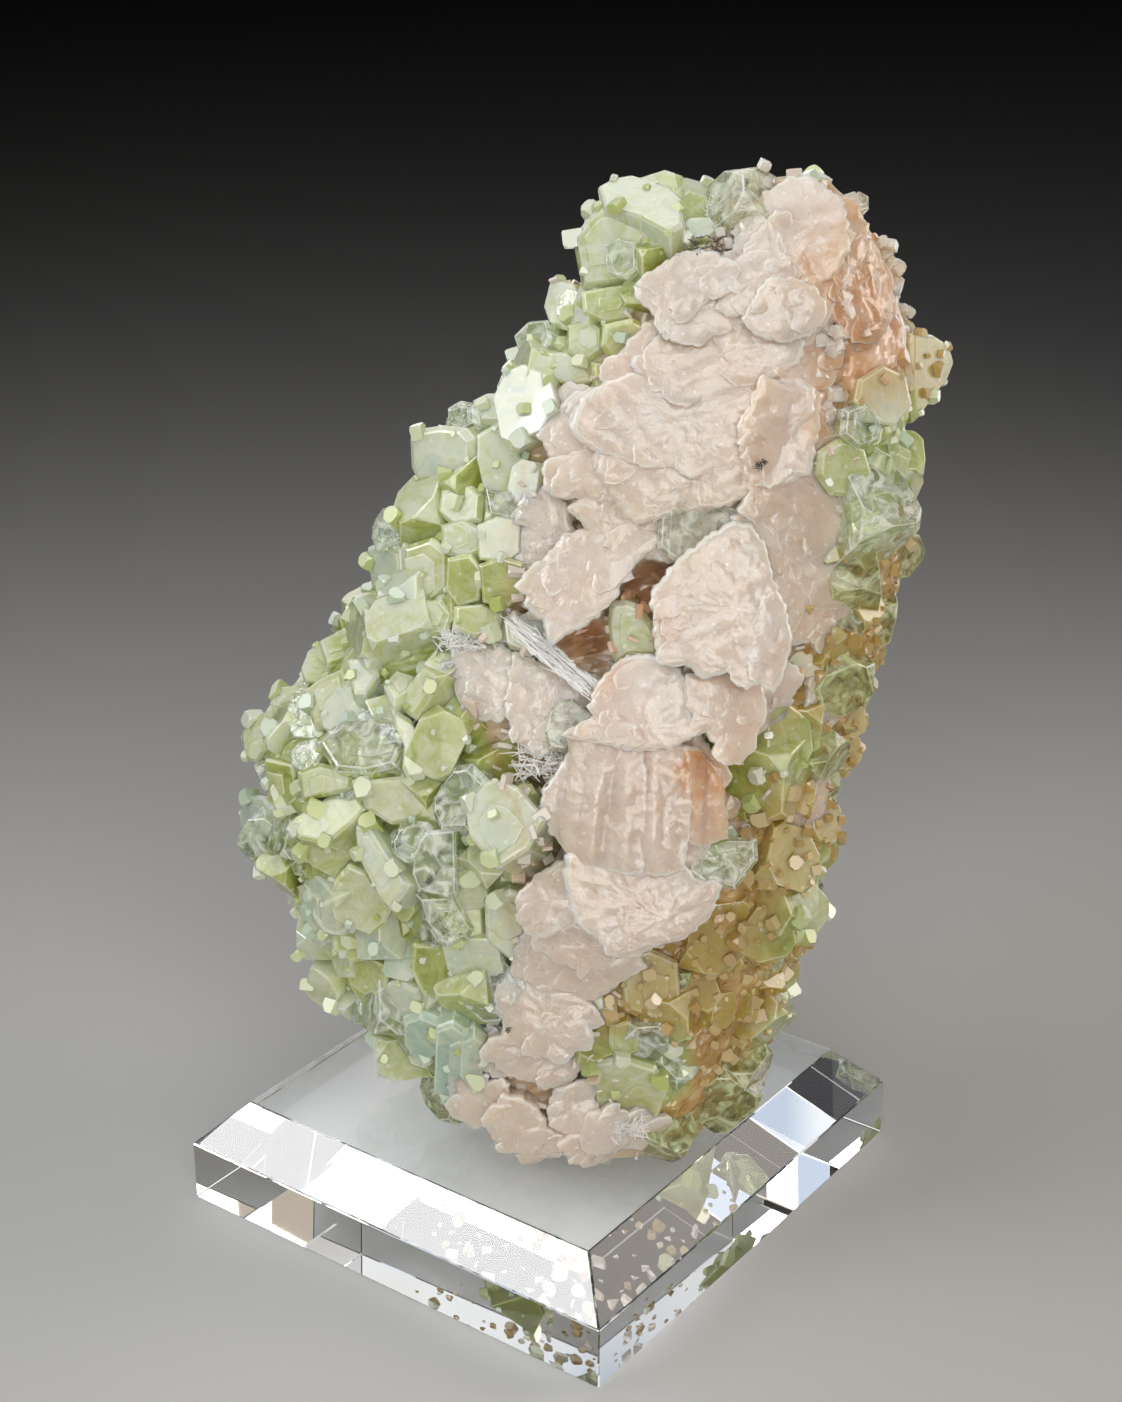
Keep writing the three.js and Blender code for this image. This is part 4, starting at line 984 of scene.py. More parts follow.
def makeFibres(name):
    dark, seed, finish, tones = fibres["strands"][name]
    chance = random.Random(seed)
    points, faces = [], []
    for across, up, proud, yaw, pitch, spin, width, height, longest, count, fan, isDark in fibres["rows"]:
        if isDark != dark:
            continue
        place = aim(frontPoint(across, up, proud), yaw, pitch, spin)
        lying = fan < fibres["lyingFan"]                    # the needles of a blade lie side by side
        for _ in range(count):
            x, y = chance.uniform(-0.5, 0.5) * width, chance.uniform(-0.5, 0.5) * height
            root = Vector((x, y, chance.uniform(*fibres["rootDepth"])))
            lean = Matrix.Rotation(math.radians(chance.gauss(0, fan)), 4, "X")
            lean = lean @ Matrix.Rotation(math.radians(chance.gauss(0, fan)), 4, "Z" if lying else "Y")
            axis = lean @ (Vector((0, 1, 0.12)) if lying else Vector((0, 0, 1)))
            length = longest * chance.uniform(0.4, 1.0)
            side = axis.orthogonal().normalized() * fibres["thickness"] * chance.uniform(0.5, 1.2)
            other = axis.cross(side).normalized() * side.length
            first = len(points)
            for corner in (side, other, -side, -other):
                points.append(place @ (root + corner - axis * 0.3 * length))
            for corner in (side, other, -side, -other):
                points.append(place @ (root + corner * 0.45 + axis * 0.7 * length))
            faces += [(first + 3, first + 2, first + 1, first), (first + 4, first + 5, first + 6, first + 7)]
            for i in range(4):
                j = (i + 1) % 4
                faces.append((first + i, first + j, first + 4 + j, first + 4 + i))
    thing = makeObject(name, points, faces, fibreMaterial(finish, tones))
    thing.data.transform(specimenMatrix())
    return thing


# Druse: small crystals scattered over the matrix

druses = {
    # spacing and the smallest and largest crystal are in mm
    "green_druse": {"crystal": "block", "where": "growGreen", "spacing": 5.2, "sizes": (0.8, 3.2), "seed": 3,
                    "finish": "apophyllite_druse", "roughness": 0.1,
                    "tones": [(0.0, "#c4d8c0"), (0.35, "#eef2e0"), (0.7, "#d5e0a8"), (1.0, "#b8c46c")]},
    "pale_druse": {"crystal": "blade", "where": "growPale", "spacing": 3.0, "sizes": (1.0, 3.0), "seed": 7,
                   "finish": "stilbite_druse", "roughness": 0.2,
                   "tones": [(0.0, "#e0d6ca"), (0.5, "#eee6dc"), (1.0, "#e2cbb6")]},
    "tan_druse": {"crystal": "grain", "where": "growTan", "spacing": 2.6, "sizes": (0.8, 2.6), "seed": 9,
                  "finish": "iron_stained_druse", "roughness": 0.15,
                  "tones": [(0.0, "#b39150"), (0.4, "#c0a160"), (0.7, "#cab076"), (1.0, "#d8c498")]},
}
druseForm = {
    # the least and greatest breadth and the length of each crystal, for a width of 1
    "block": (0.75, 1.2, 1.2), "blade": (0.25, 0.4, 1.3), "grain": (0.7, 1.3, 1.0),
    "variants": 6, "lean": 0.5, "mostPerSquareMetre": 6e5, "skew": 1.8, "tintSeed": 5,
}


def makeVariants(kind, chance):
    variants = []
    narrow, broad, length = druseForm[kind]
    for index in range(druseForm["variants"]):
        shape = crystalMesh(1, chance.uniform(narrow, broad), length, chance, 0.0)
        mesh = bpy.data.meshes.new(f"{kind}{index}")
        mesh.from_pydata([(point + Vector((0, 0, 0.5))) * mm for point in shape[0]], [], shape[1])
        thing = bpy.data.objects.new(f"{kind}{index}", mesh)
        bpy.context.scene.collection.objects.link(thing)
        variants.append(thing)
    return variants


def druseTree(variants, densityName, material):
    tree = bpy.data.node_groups.new("druse", "GeometryNodeTree")
    sockets = {"Geometry": "Geometry", "Spacing": "Float", "Smallest": "Float", "Largest": "Float",
               "Lean": "Float", "Seed": "Int"}
    for label, kind in sockets.items():
        tree.interface.new_socket(label, in_out="INPUT", socket_type="NodeSocket" + kind)
    tree.interface.new_socket("Geometry", in_out="OUTPUT", socket_type="NodeSocketGeometry")
    given = addNode(tree, "NodeGroupInput").outputs
    density = addNode(tree, "GeometryNodeInputNamedAttribute", {"Name": densityName}, data_type="FLOAT")
    spread = addNode(tree, "GeometryNodeDistributePointsOnFaces", {
        "Mesh": given["Geometry"], "Distance Min": given["Spacing"],
        "Density Max": druseForm["mostPerSquareMetre"],
        "Density Factor": density.outputs["Attribute"], "Seed": given["Seed"],
    }, distribute_method="POISSON")
    bundle = addNode(tree, "GeometryNodeJoinGeometry")
    for thing in variants:
        info = addNode(tree, "GeometryNodeObjectInfo", {"Object": thing, "As Instance": True})
        tree.links.new(info.outputs["Geometry"], bundle.inputs["Geometry"])
    size = addNode(tree, "FunctionNodeRandomValue", {
        "Min": 0.0, "Max": 1.0, "Seed": given["Seed"]}, data_type="FLOAT")
    skew = addNode(tree, "ShaderNodeMath", {
        0: size.outputs["Value"], 1: druseForm["skew"]}, operation="POWER")
    scale = addNode(tree, "ShaderNodeMapRange", {
        "Value": skew.outputs[0], "To Min": given["Smallest"], "To Max": given["Largest"]})
    negative = addNode(tree, "ShaderNodeMath", {0: given["Lean"], 1: -1.0}, operation="MULTIPLY")
    low = addNode(tree, "ShaderNodeCombineXYZ", {
        "X": negative.outputs[0], "Y": negative.outputs[0], "Z": -3.2})
    high = addNode(tree, "ShaderNodeCombineXYZ", {"X": given["Lean"], "Y": given["Lean"], "Z": 3.2})
    wobble = addNode(tree, "FunctionNodeRandomValue", {
        "Min": low.outputs[0], "Max": high.outputs[0], "Seed": given["Seed"]}, data_type="FLOAT_VECTOR")
    toTurn = addNode(tree, "FunctionNodeEulerToRotation", {"Euler": wobble.outputs["Value"]})
    turn = addNode(tree, "FunctionNodeRotateRotation", {
        "Rotation": spread.outputs["Rotation"], "Rotate By": toTurn.outputs["Rotation"]},
        rotation_space="LOCAL")
    crop = addNode(tree, "GeometryNodeInstanceOnPoints", {
        "Points": spread.outputs["Points"], "Instance": bundle.outputs["Geometry"], "Pick Instance": True,
        "Rotation": turn.outputs["Rotation"], "Scale": scale.outputs["Result"]})
    tint = addNode(tree, "FunctionNodeRandomValue", {
        "Min": 0.0, "Max": 1.0, "Seed": druseForm["tintSeed"]}, data_type="FLOAT")
    stored = addNode(tree, "GeometryNodeStoreNamedAttribute", {
        "Geometry": crop.outputs["Instances"], "Name": "tint", "Value": tint.outputs["Value"]},
        data_type="FLOAT", domain="INSTANCE")
    real = addNode(tree, "GeometryNodeRealizeInstances", {"Geometry": stored.outputs["Geometry"]})
    painted = addNode(tree, "GeometryNodeSetMaterial", {
        "Geometry": real.outputs["Geometry"], "Material": material})
    addNode(tree, "NodeGroupOutput", {"Geometry": painted.outputs["Geometry"]})
    return tree


def growDruse(name, source):
    form = druses[name]
    variants = makeVariants(form["crystal"], random.Random(form["seed"]))
    holder = bpy.data.objects.new(name, source.data.copy())
    bpy.context.scene.collection.objects.link(holder)
    material = druseMaterial(form["finish"], form["tones"], form["roughness"])
    tree = druseTree(variants, form["where"], material)
    modifier = holder.modifiers.new("druse", "NODES")
    modifier.node_group = tree
    smallest, largest = form["sizes"]
    values = {"Spacing": form["spacing"] * mm, "Smallest": smallest, "Largest": largest,
              "Lean": druseForm["lean"], "Seed": form["seed"]}
    for item in tree.interface.items_tree:
        if item.in_out == "INPUT" and item.name in values:
            modifier[item.identifier] = values[item.name]
    bpy.context.view_layer.update()
    ready = holder.evaluated_get(bpy.context.evaluated_depsgraph_get())
    mesh = bpy.data.meshes.new_from_object(ready)
    holder.modifiers.clear()
    holder.data = mesh
    mesh.name = name
    for thing in variants:
        bpy.data.objects.remove(thing)
    print(name, len(mesh.polygons), "faces")
    return holder


# Where each kind of druse grows, from the zones of the surface
def storeDensities(mesh):
    zones = []
    for key in ("green", "pale", "rust"):
        values = [0.0] * len(mesh.vertices)
        mesh.attributes[key].data.foreach_get("value", values)
        zones.append(values)
    green, pale, rust = zones
    plain = [max(0.0, 1 - g - p - r) for g, p, r in zip(green, pale, rust)]
    for key, values in (("growGreen", green), ("growPale", pale), ("growTan", plain)):
        mesh.attributes.new(key, "FLOAT", "POINT").data.foreach_set("value", values)


# Materials

def newMaterial(name):
    material = bpy.data.materials.new(name)
    material.use_nodes = True
    tree = material.node_tree
    tree.nodes.clear()
    return material, tree


# Apophyllite on massive zeolite: glassy, milky green crystals, greener in the hollows by painted shade
massLook = {
    # the patterns' sizes in millimetres
    "cloud": 6.667, "veil": 4.762, "fleck": 2.381,
    # how far the veils shift a crystal's tone and how far painted shade deepens it in the hollows
    "veiling": 0.9, "hollows": 0.42,
    # how much iron stains the flank, and how strongly edges and flecks lighten: edges partly from wear and
    # partly as painted highlight, flecks partly as inner cracks and partly as painted glints
    "stain": 0.62, "edges": 0.26, "flecks": 0.4,
    "highestTint": 2.2,           # the bare matrix carries a tint above this
    "tan": [(0.3, "#a8823f"), (0.5, "#c49e5a"), (0.7, "#dcbf88")],
    "leaf": [(0.3, "#93a047"), (0.5, "#adb868"), (0.7, "#c6ce9a")],
    "cream": [(0.3, "#c0a27d"), (0.5, "#d6bd9c"), (0.7, "#e6d5bf")],
    "ochre": [(0.3, "#bd8452"), (0.5, "#dba97a"), (0.7, "#ecc9ab")],
    "crystals": [(0.0, "#abc5b1"), (0.22, "#c6d3bf"), (0.42, "#d8dcc5"), (0.6, "#c9cfa2"), (0.8, "#b2bc70"),
                 (1.0, "#949b42")],
    "stained": "#c8a158", "light": "#f6f8ee",
}


def massMaterial():
    material, tree = newMaterial("milky_green_apophyllite")
    look = massLook
    where = addNode(tree, "ShaderNodeTexCoord").outputs["Object"]
    green, pale, rust, sunk, tint, edge = [
        addNode(tree, "ShaderNodeAttribute", attribute_name=field).outputs["Fac"]
        for field in ("green", "pale", "rust", "sunk", "tint", "edge")]
    cloud = addNode(tree, "ShaderNodeTexNoise", {
        "Vector": where, "Scale": scaleOf(look["cloud"]), "Detail": 3.0})
    tones = {}
    for zone in ("tan", "leaf", "cream", "ochre"):
        ramp = addNode(tree, "ShaderNodeValToRGB", {"Fac": cloud.outputs["Fac"]})
        setRamp(ramp, look[zone])
        tones[zone] = ramp.outputs["Color"]
    bare = tones["tan"]
    for share, zone in ((green, "leaf"), (pale, "cream"), (rust, "ochre")):
        mixed = addNode(tree, "ShaderNodeMix", {0: share, 6: bare, 7: tones[zone]}, data_type="RGBA")
        bare = mixed.outputs[2]
    shade = addNode(tree, "ShaderNodeMapRange", {"Value": tint, "From Min": -1.0, "From Max": 1.3})
    veil = addNode(tree, "ShaderNodeTexNoise", {
        "Vector": where, "Scale": scaleOf(look["veil"]), "Detail": 4.0, "Roughness": 0.62, "Distortion": 1.6})
    drift = addNode(tree, "ShaderNodeMath", {
        0: veil.outputs["Fac"], 1: look["veiling"], 2: -look["veiling"] / 2}, operation="MULTIPLY_ADD")
    moved = addNode(tree, "ShaderNodeMath", {0: shade.outputs["Result"], 1: drift.outputs[0]})
    # painted shade: crystals turn deeper olive where they lie sunk between the growths
    deeper = addNode(tree, "ShaderNodeMath", {
        0: sunk, 1: look["hollows"], 2: moved.outputs[0]}, operation="MULTIPLY_ADD")
    glass = addNode(tree, "ShaderNodeValToRGB", {"Fac": deeper.outputs[0]})
    setRamp(glass, look["crystals"])
    side = addNode(tree, "ShaderNodeMath", {0: green, 1: pale}, operation="MAXIMUM")
    tawny = addNode(tree, "ShaderNodeMath", {
        0: side.outputs[0], 1: -look["stain"], 2: look["stain"]}, operation="MULTIPLY_ADD")
    stained = addNode(tree, "ShaderNodeMix", {
        0: tawny.outputs[0], 6: glass.outputs["Color"], 7: hexColor(look["stained"])}, data_type="RGBA")
    crystal = addNode(tree, "ShaderNodeMath", {0: tint, 1: look["highestTint"]}, operation="LESS_THAN")
    body = addNode(tree, "ShaderNodeMix", {
        0: crystal.outputs[0], 6: bare, 7: stained.outputs[2]}, data_type="RGBA")
    # edges and flecks lighten towards near-white: partly wear and inner cracks, partly painted highlights and
    # glints
    fleck = addNode(tree, "ShaderNodeTexVoronoi", {"Vector": where, "Scale": scaleOf(look["fleck"])})
    bright = addNode(tree, "ShaderNodeMapRange", {
        "Value": fleck.outputs["Distance"], "From Min": 0.1, "From Max": 0.2, "To Min": look["flecks"],
        "To Max": 0.0})
    rim = addNode(tree, "ShaderNodeMath", {0: edge, 1: look["edges"]}, operation="MULTIPLY")
    light = addNode(tree, "ShaderNodeMath", {
        0: rim.outputs[0], 1: bright.outputs["Result"]}, operation="MAXIMUM")
    color = addNode(tree, "ShaderNodeMix", {
        0: light.outputs[0], 6: body.outputs[2], 7: hexColor(look["light"])}, data_type="RGBA")
    bump = addNode(tree, "ShaderNodeBump", {
        "Height": cloud.outputs["Fac"], "Strength": 0.3, "Distance": 0.0012})
    skin = addNode(tree, "ShaderNodeBsdfPrincipled", {
        "Base Color": color.outputs[2], "Roughness": 0.27, "IOR": 1.535, "Subsurface Weight": 1.0,
        "Subsurface Radius": (1.0, 1.0, 0.55), "Subsurface Scale": 0.004, "Coat Weight": 0.75,
        "Coat Roughness": 0.03, "Normal": bump.outputs["Normal"]})
    addNode(tree, "ShaderNodeOutputMaterial", {"Surface": skin.outputs["BSDF"]})
    return material


# Clear apophyllite: glassy prisms with a faint green body, veils of fine cracks and whitish edges, partly
# wear and partly painted highlight
clearLook = {
    "veil": 3.846, "veils": (0.42, 0.66), "clarity": (0.95, 0.3), "edgeWearAndHighlight": 0.5,
    "body": [(0.0, "#dcefe4"), (0.4, "#f5f8f2"), (0.7, "#ebf2d6"), (1.0, "#dbe5b0")],
    "depth": "#e4f0cc", "density": 22.0,
}


def clearMaterial():
    material, tree = newMaterial("clear_apophyllite")
    look = clearLook
    where = addNode(tree, "ShaderNodeTexCoord").outputs["Object"]
    tint, edge = [addNode(tree, "ShaderNodeAttribute", attribute_name=field).outputs["Fac"]
                  for field in ("tint", "edge")]
    shade = addNode(tree, "ShaderNodeMapRange", {"Value": tint, "From Min": -0.8, "From Max": 1.2})
    body = addNode(tree, "ShaderNodeValToRGB", {"Fac": shade.outputs["Result"]})
    setRamp(body, look["body"])
    veil = addNode(tree, "ShaderNodeTexNoise", {
        "Vector": where, "Scale": scaleOf(look["veil"]), "Detail": 3.0, "Distortion": 1.5})
    cloudy = addNode(tree, "ShaderNodeMapRange", {
        "Value": veil.outputs["Fac"], "From Min": look["veils"][0], "From Max": look["veils"][1],
        "To Min": look["clarity"][0], "To Max": look["clarity"][1]})
    # edges let less light through so they show whitish: partly wear, partly painted highlight
    rim = addNode(tree, "ShaderNodeMath", {0: edge, 1: -look["edgeWearAndHighlight"], 2: 1.0}, operation="MULTIPLY_ADD")
    through = addNode(tree, "ShaderNodeMath", {
        0: cloudy.outputs["Result"], 1: rim.outputs[0]}, operation="MULTIPLY")
    bump = addNode(tree, "ShaderNodeBump", {
        "Height": veil.outputs["Fac"], "Strength": 0.2, "Distance": 0.0008})
    skin = addNode(tree, "ShaderNodeBsdfPrincipled", {
        "Base Color": body.outputs["Color"], "Roughness": 0.04, "IOR": 1.535,
        "Transmission Weight": through.outputs[0], "Normal": bump.outputs["Normal"]})
    depth = addNode(tree, "ShaderNodeVolumeAbsorption", {
        "Color": hexColor(look["depth"]), "Density": look["density"]})
    addNode(tree, "ShaderNodeOutputMaterial", {
        "Surface": skin.outputs["BSDF"], "Volume": depth.outputs["Volume"]})
    return material


# Stilbite, grown as sheaves of thin plates: waxy to pearly, cream to peach, browner in the gaps by painted
# shade
stilbiteLook = {
    # the patterns' sizes in millimetres
    "cloud": 13.333, "drift": 26.316, "milk": 5.263, "speck": 2.174, "grain": 2.381,
    # the tone of a plate: where it starts, how far its warmth, rust and the clouds shift it
    "tone": 0.26, "warmth": 0.42, "rust": 0.36, "clouding": 0.6,
    # how strongly wax, milk, the painted shade in the gaps, specks and rims cover it: the rims are painted
    # highlights, the specks partly grains and partly painted sparkle
    "waxy": 0.45, "milky": 0.32, "gapShading": 0.6, "specks": 0.5, "rims": 0.45,
    "plates": [(0.0, "#cfc7c0"), (0.25, "#ded0c4"), (0.45, "#e0c9b8"), (0.65, "#e0bc9c"), (0.85, "#dca474"),
               (1.0, "#cc8f54")],
    "wax": "#d8c7ac", "milkTone": "#f2ece4", "gapShadeTone": "#b8996a", "light": "#faf7f0",
}


def stilbiteMaterial():
    material, tree = newMaterial("stilbite_pearly_plates")
    look = stilbiteLook
    where = addNode(tree, "ShaderNodeTexCoord").outputs["Object"]
    warmth, edge, rust, sunk = [
        addNode(tree, "ShaderNodeAttribute", attribute_name=field).outputs["Fac"]
        for field in ("tint", "edge", "rust", "sunk")]
    cloud = addNode(tree, "ShaderNodeTexNoise", {
        "Vector": where, "Scale": scaleOf(look["cloud"]), "Detail": 3.0})
    base = addNode(tree, "ShaderNodeMath", {
        0: warmth, 1: look["warmth"], 2: look["tone"]}, operation="MULTIPLY_ADD")
    more = addNode(tree, "ShaderNodeMath", {
        0: rust, 1: look["rust"], 2: base.outputs[0]}, operation="MULTIPLY_ADD")
    shift = addNode(tree, "ShaderNodeMath", {
        0: cloud.outputs["Fac"], 1: look["clouding"], 2: -look["clouding"] / 2}, operation="MULTIPLY_ADD")
    total = addNode(tree, "ShaderNodeMath", {0: more.outputs[0], 1: shift.outputs[0]})
    ramp = addNode(tree, "ShaderNodeValToRGB", {"Fac": total.outputs[0]})
    setRamp(ramp, look["plates"])
    drift = addNode(tree, "ShaderNodeTexNoise", {
        "Vector": where, "Scale": scaleOf(look["drift"]), "Detail": 2.0})
    waxen = addNode(tree, "ShaderNodeMapRange", {
        "Value": drift.outputs["Fac"], "From Min": 0.42, "From Max": 0.66, "To Max": look["waxy"]})
    milk = addNode(tree, "ShaderNodeTexNoise", {
        "Vector": where, "Scale": scaleOf(look["milk"]), "Detail": 4.0, "Roughness": 0.6, "Distortion": 0.8})
    milky = addNode(tree, "ShaderNodeMapRange", {
        "Value": milk.outputs["Fac"], "From Min": 0.42, "From Max": 0.72, "To Max": look["milky"]})
    # painted shade: browner where the plates lie sunk in the gaps
    gapShading = addNode(tree, "ShaderNodeMath", {0: sunk, 1: look["gapShading"]}, operation="MULTIPLY")
    speck = addNode(tree, "ShaderNodeTexVoronoi", {"Vector": where, "Scale": scaleOf(look["speck"])})
    mote = addNode(tree, "ShaderNodeMapRange", {
        "Value": speck.outputs["Distance"], "From Min": 0.1, "From Max": 0.18, "To Min": look["specks"],
        "To Max": 0.0})
    # rims lighten towards near-white as painted highlights along plate and blade edges and whiten the crust
    # grains; specks are partly pale grains and partly painted sparkle
    rim = addNode(tree, "ShaderNodeMath", {0: edge, 1: look["rims"]}, operation="MULTIPLY")
    light = addNode(tree, "ShaderNodeMath", {
        0: rim.outputs[0], 1: mote.outputs["Result"]}, operation="MAXIMUM")
    color = ramp.outputs["Color"]
    for share, tone in ((waxen, "wax"), (milky, "milkTone"), (gapShading, "gapShadeTone"), (light, "light")):
        mixed = addNode(tree, "ShaderNodeMix", {
            0: share.outputs[0], 6: color, 7: hexColor(look[tone])}, data_type="RGBA")
        color = mixed.outputs[2]
    grain = addNode(tree, "ShaderNodeTexNoise", {
        "Vector": where, "Scale": scaleOf(look["grain"]), "Detail": 3.0, "Roughness": 0.7})
    bump = addNode(tree, "ShaderNodeBump", {
        "Height": grain.outputs["Fac"], "Strength": 0.55, "Distance": 0.0008})
    skin = addNode(tree, "ShaderNodeBsdfPrincipled", {
        "Base Color": color, "Roughness": 0.25, "IOR": 1.5, "Subsurface Weight": 1.0,
        "Subsurface Radius": (1.0, 0.8, 0.6), "Subsurface Scale": 0.004, "Coat Weight": 0.9,
        "Coat Roughness": 0.06, "Normal": bump.outputs["Normal"]})
    addNode(tree, "ShaderNodeOutputMaterial", {"Surface": skin.outputs["BSDF"]})
    return material


# Hair-thin zeolite needles: silky white, or black where manganese oxide coats them
def fibreMaterial(name, stops):
    material, tree = newMaterial(name)
    where = addNode(tree, "ShaderNodeTexCoord").outputs["Object"]
    cloud = addNode(tree, "ShaderNodeTexNoise", {"Vector": where, "Scale": scaleOf(fibres["cloud"])})
    ramp = addNode(tree, "ShaderNodeValToRGB", {"Fac": cloud.outputs["Fac"]})
    setRamp(ramp, stops)
    skin = addNode(tree, "ShaderNodeBsdfPrincipled", {
        "Base Color": ramp.outputs["Color"], "Roughness": 0.35, "IOR": 1.5, "Coat Weight": 0.6,
        "Coat Roughness": 0.1})
    addNode(tree, "ShaderNodeOutputMaterial", {"Surface": skin.outputs["BSDF"]})
    return material


# Small crystals: one glassy finish whose colour follows the zone that they grow in
def druseMaterial(name, stops, roughness):
    material, tree = newMaterial(name)
    tint, rust = [addNode(tree, "ShaderNodeAttribute", attribute_name=field).outputs["Fac"]
                  for field in ("tint", "rust")]
    ramp = addNode(tree, "ShaderNodeValToRGB", {"Fac": tint})
    setRamp(ramp, stops)
    color = addNode(tree, "ShaderNodeMix", {
        0: rust, 6: ramp.outputs["Color"], 7: hexColor("#e0b08a")}, data_type="RGBA")
    skin = addNode(tree, "ShaderNodeBsdfPrincipled", {
        "Base Color": color.outputs[2], "Roughness": roughness, "IOR": 1.53, "Coat Weight": 0.7,
        "Coat Roughness": 0.05})
    addNode(tree, "ShaderNodeOutputMaterial", {"Surface": skin.outputs["BSDF"]})
    return material


# Acrylic, cast and diamond polished: water-clear with bright edges
acrylic = {"tone": "#fbfdfd", "brokenEdge": 0.25}      # the edge in mm


def acrylicMaterial():
    material, tree = newMaterial("polished_cast_acrylic")
    skin = addNode(tree, "ShaderNodeBsdfPrincipled", {
        "Base Color": hexColor(acrylic["tone"]), "Roughness": 0.01, "IOR": 1.49, "Transmission Weight": 1.0})
    addNode(tree, "ShaderNodeOutputMaterial", {"Surface": skin.outputs["BSDF"]})
    return material


def floorMaterial():
    material, tree = newMaterial("matte_pale_board")
    where = addNode(tree, "ShaderNodeTexCoord").outputs["Object"]
    cloud = addNode(tree, "ShaderNodeTexNoise", {
        "Vector": where, "Scale": scaleOf(studio["boardCloud"]), "Detail": 2.0})
    ramp = addNode(tree, "ShaderNodeValToRGB", {"Fac": cloud.outputs["Fac"]})
    setRamp(ramp, [(0.0, "#d0d0d0"), (1.0, "#d6d6d6")])
    skin = addNode(tree, "ShaderNodeBsdfPrincipled", {
        "Base Color": ramp.outputs["Color"], "Roughness": 0.8, "Specular IOR Level": 0.0})
    addNode(tree, "ShaderNodeOutputMaterial", {"Surface": skin.outputs["BSDF"]})
    return material


# The display block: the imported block's own shape with its sharp edges just broken
def makeBlock(material):
    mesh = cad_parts["acrylic_base"].data.copy()
    shape = bmesh.new()
    shape.from_mesh(mesh)
    bmesh.ops.remove_doubles(shape, verts=shape.verts, dist=1e-5)
    bmesh.ops.dissolve_limit(shape, angle_limit=0.02, verts=shape.verts, edges=shape.edges)
    bmesh.ops.bevel(shape, geom=shape.edges[:], offset=acrylic["brokenEdge"] * mm, segments=2, affect="EDGES",
                    profile=0.5)
    shape.to_mesh(mesh)
    shape.free()
    mesh.materials.clear()
    mesh.materials.append(material)
    thing = bpy.data.objects.new("acrylic_block", mesh)
    bpy.context.scene.collection.objects.link(thing)
    return thing


# Plain soft studio: a box above, one at the left and three fills. The cards show only in polished faces
# and through clear stone, and the glint card lights nothing but the block.
lights = {
    # right, away and up from the block's middle in metres, then width and height, watts, spread and color
    "top box": ((-0.03, 0.00, 0.42), (0.30, 0.24), 0.22, 140, "#ffffff"),
    "left box": ((-0.40, -0.12, 0.33), (0.28, 0.30), 0.54, 150, "#fdfdff"),
    "front fill": ((0.06, -0.52, 0.46), (0.40, 0.30), 0.56, 120, "#fffdf8"),
    "right fill": ((0.46, 0.02, 0.30), (0.18, 0.26), 0.36, 130, "#fff4e8"),
    "low fill": ((0.06, -0.50, 0.10), (0.40, 0.14), 0.29, 120, "#fffaf2"),
    "right card": ((0.40, 0.06, 0.10), (0.90, 0.24), 0.46, 180, "#ffffff"),
    "rear card": ((0.18, 0.36, 0.11), (1.00, 0.26), 0.62, 180, "#ffffff"),
    "glint card": ((-0.38, -0.14, 0.32), (0.20, 0.24), 1.9, 160, "#ffffff"),
    "left strip card": ((-0.40, -0.10, 0.34), (0.03, 0.26), 0.17, 160, "#ffffff"),
}
studio = {
    "aim": (0.0, 0.0, 0.08), "boardHalf": 5.0,         # metres
    "boardCloud": 333.3,                               # mm
    # the pale room that only reflections and clear stone see: its brightest side and its levels
    "roomSide": (-0.76, -0.15, 0.63), "roomLevels": (0.7, 1.4), "streaks": 3.2,
    "roomTones": [(0.36, "#b9c4d6"), (0.47, "#eef1f6"), (0.56, "#ffffff"), (0.66, "#e6d6c4")],
}


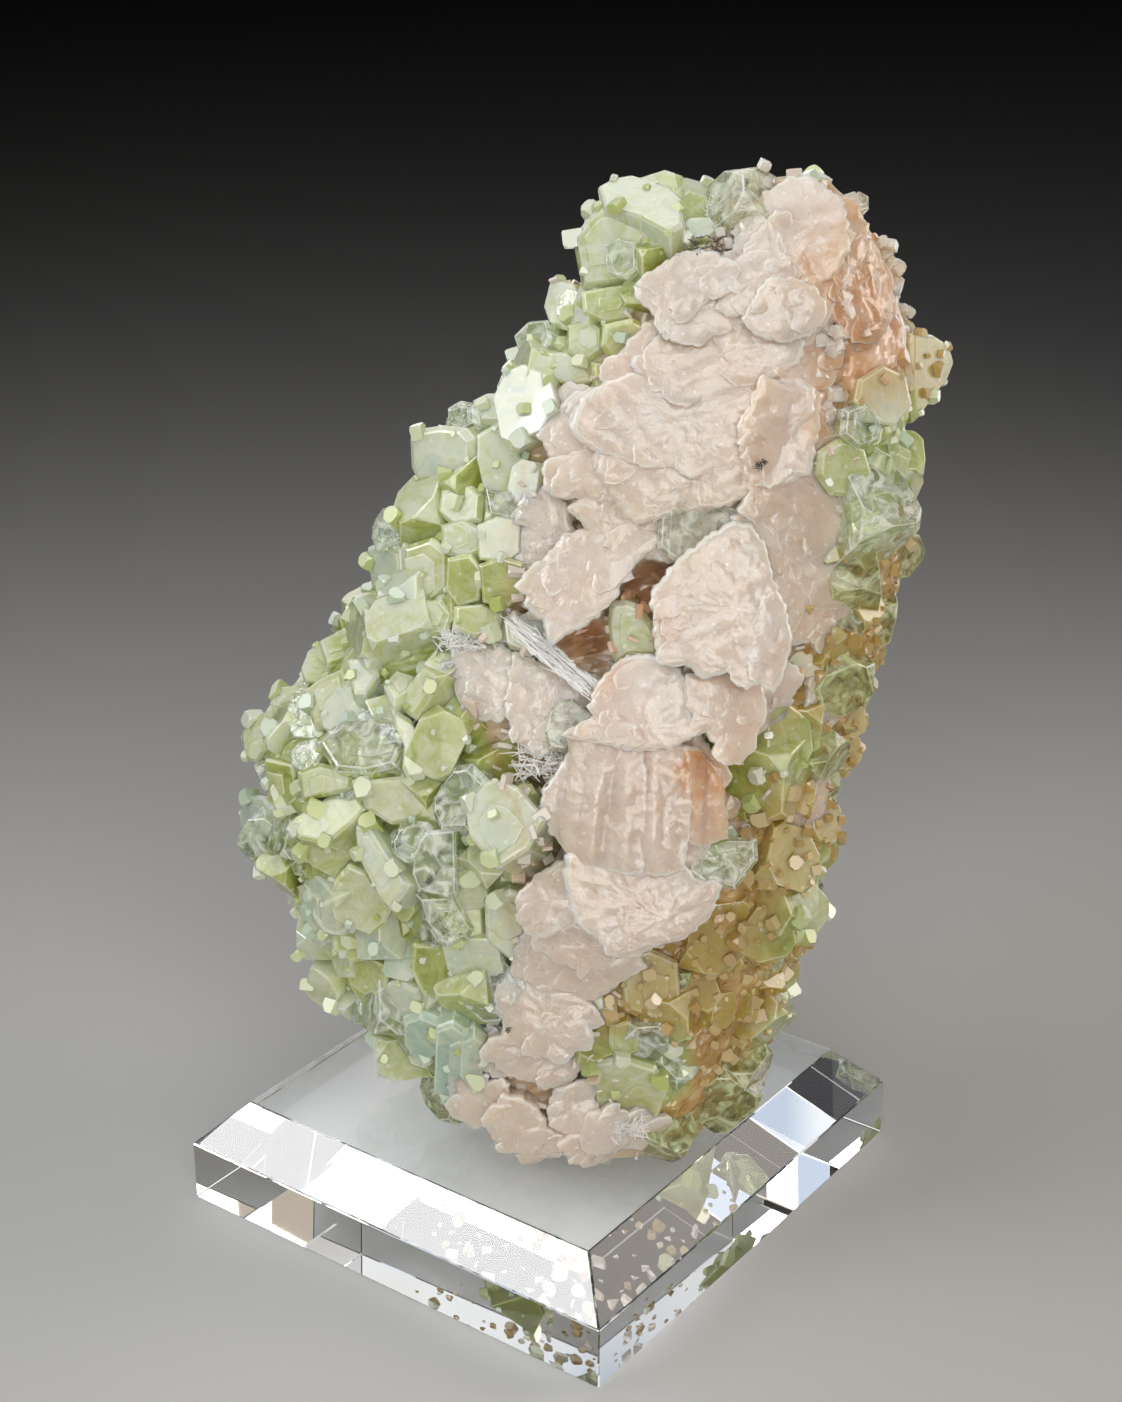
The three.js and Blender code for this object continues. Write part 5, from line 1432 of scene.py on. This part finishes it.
def makeStudio():
    mesh = bpy.data.meshes.new("floor")
    half, level = studio["boardHalf"], -floorGap * mm
    corners = [(x * half, y * half, level) for x, y in ((-1, -1), (1, -1), (1, 1), (-1, 1))]
    mesh.from_pydata(corners, [], [(0, 1, 2, 3)])
    mesh.materials.append(floorMaterial())
    floor = bpy.data.objects.new("floor", mesh)
    bpy.context.scene.collection.objects.link(floor)
    turn = Matrix.Rotation(math.radians(turnDegrees), 4, "Z")
    aimAt = turn @ Vector(studio["aim"])
    for name, (place, (width, height), power, spread, color) in lights.items():
        light = bpy.data.lights.new(name, "AREA")
        light.shape = "RECTANGLE"
        light.size, light.size_y = width, height
        light.energy = power
        light.spread = math.radians(spread)
        light.color = hexColor(color)[:3]
        thing = bpy.data.objects.new(name, light)
        thing.location = turn @ Vector(place)
        thing.rotation_euler = (aimAt - thing.location).to_track_quat("-Z", "Y").to_euler()
        thing.visible_camera = False
        thing.visible_diffuse = "card" not in name
        thing.visible_transmission = name != "glint card"
        bpy.context.scene.collection.objects.link(thing)
    world = bpy.data.worlds.new("studio")
    world.use_nodes = True
    tree = world.node_tree
    tree.nodes.clear()
    where = addNode(tree, "ShaderNodeTexCoord").outputs["Object"]
    toward = addNode(tree, "ShaderNodeVectorMath", {
        0: where, 1: turn @ Vector(studio["roomSide"])}, operation="DOT_PRODUCT")
    dimmest, brightest = studio["roomLevels"]
    level = addNode(tree, "ShaderNodeMapRange", {
        "Value": toward.outputs["Value"], "From Min": -0.1, "From Max": 0.95, "To Min": dimmest,
        "To Max": brightest}, interpolation_type="SMOOTHSTEP")
    streak = addNode(tree, "ShaderNodeTexNoise", {
        "Vector": where, "Scale": studio["streaks"], "Detail": 2.0, "Distortion": 1.5})
    tones = addNode(tree, "ShaderNodeValToRGB", {"Fac": streak.outputs["Fac"]})
    setRamp(tones, studio["roomTones"])
    room = addNode(tree, "ShaderNodeBackground", {
        "Color": tones.outputs["Color"], "Strength": level.outputs["Result"]})
    addNode(tree, "ShaderNodeOutputWorld", {"Surface": room.outputs["Background"]})
    bpy.context.scene.world = world
    for ray in ("camera", "diffuse", "scatter"):
        setattr(world.cycles_visibility, ray, False)


def makeCamera():
    data = bpy.data.cameras.new("camera")
    data.lens = camera["lens"]
    data.sensor_width = camera["sensor"]
    data.clip_start = 0.01
    thing = bpy.data.objects.new("camera", data)
    thing.location = camera["place"]
    thing.rotation_euler = (math.radians(camera["pitch"]), 0, math.radians(camera["turn"]))
    bpy.context.scene.collection.objects.link(thing)
    bpy.context.scene.camera = thing


makeCamera()
makeStudio()
bpy.context.scene.view_settings.view_transform = "Standard"
print("studio ready")

mass, glassy = makeCrystals(massMaterial(), clearMaterial())
storeDensities(mass.data)
stilbite = makeStilbite(stilbiteMaterial())

greenDruse, paleDruse, tanDruse = [growDruse(name, mass) for name in druses]
whiteNeedles, darkNeedles = [makeFibres(name) for name in fibres["strands"]]

for piece, slot in ((whiteNeedles, "stilbite"), (darkNeedles, "mineral"), (mass, "apophyllite"),
                    (glassy, "apophyllite"), (stilbite, "stilbite"), (greenDruse, "apophyllite"),
                    (paleDruse, "stilbite"), (tanDruse, "mineral")):
    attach(piece, "root")
    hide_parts("apophyllite_cluster")

block = makeBlock(acrylicMaterial())
# the glint card lights nothing but the block
shineOnBlock = bpy.data.collections.new("shine on the block")
shineOnBlock.objects.link(block)
bpy.data.objects["glint card"].light_linking.receiver_collection = shineOnBlock
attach(block, "root")
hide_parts("acrylic_base")
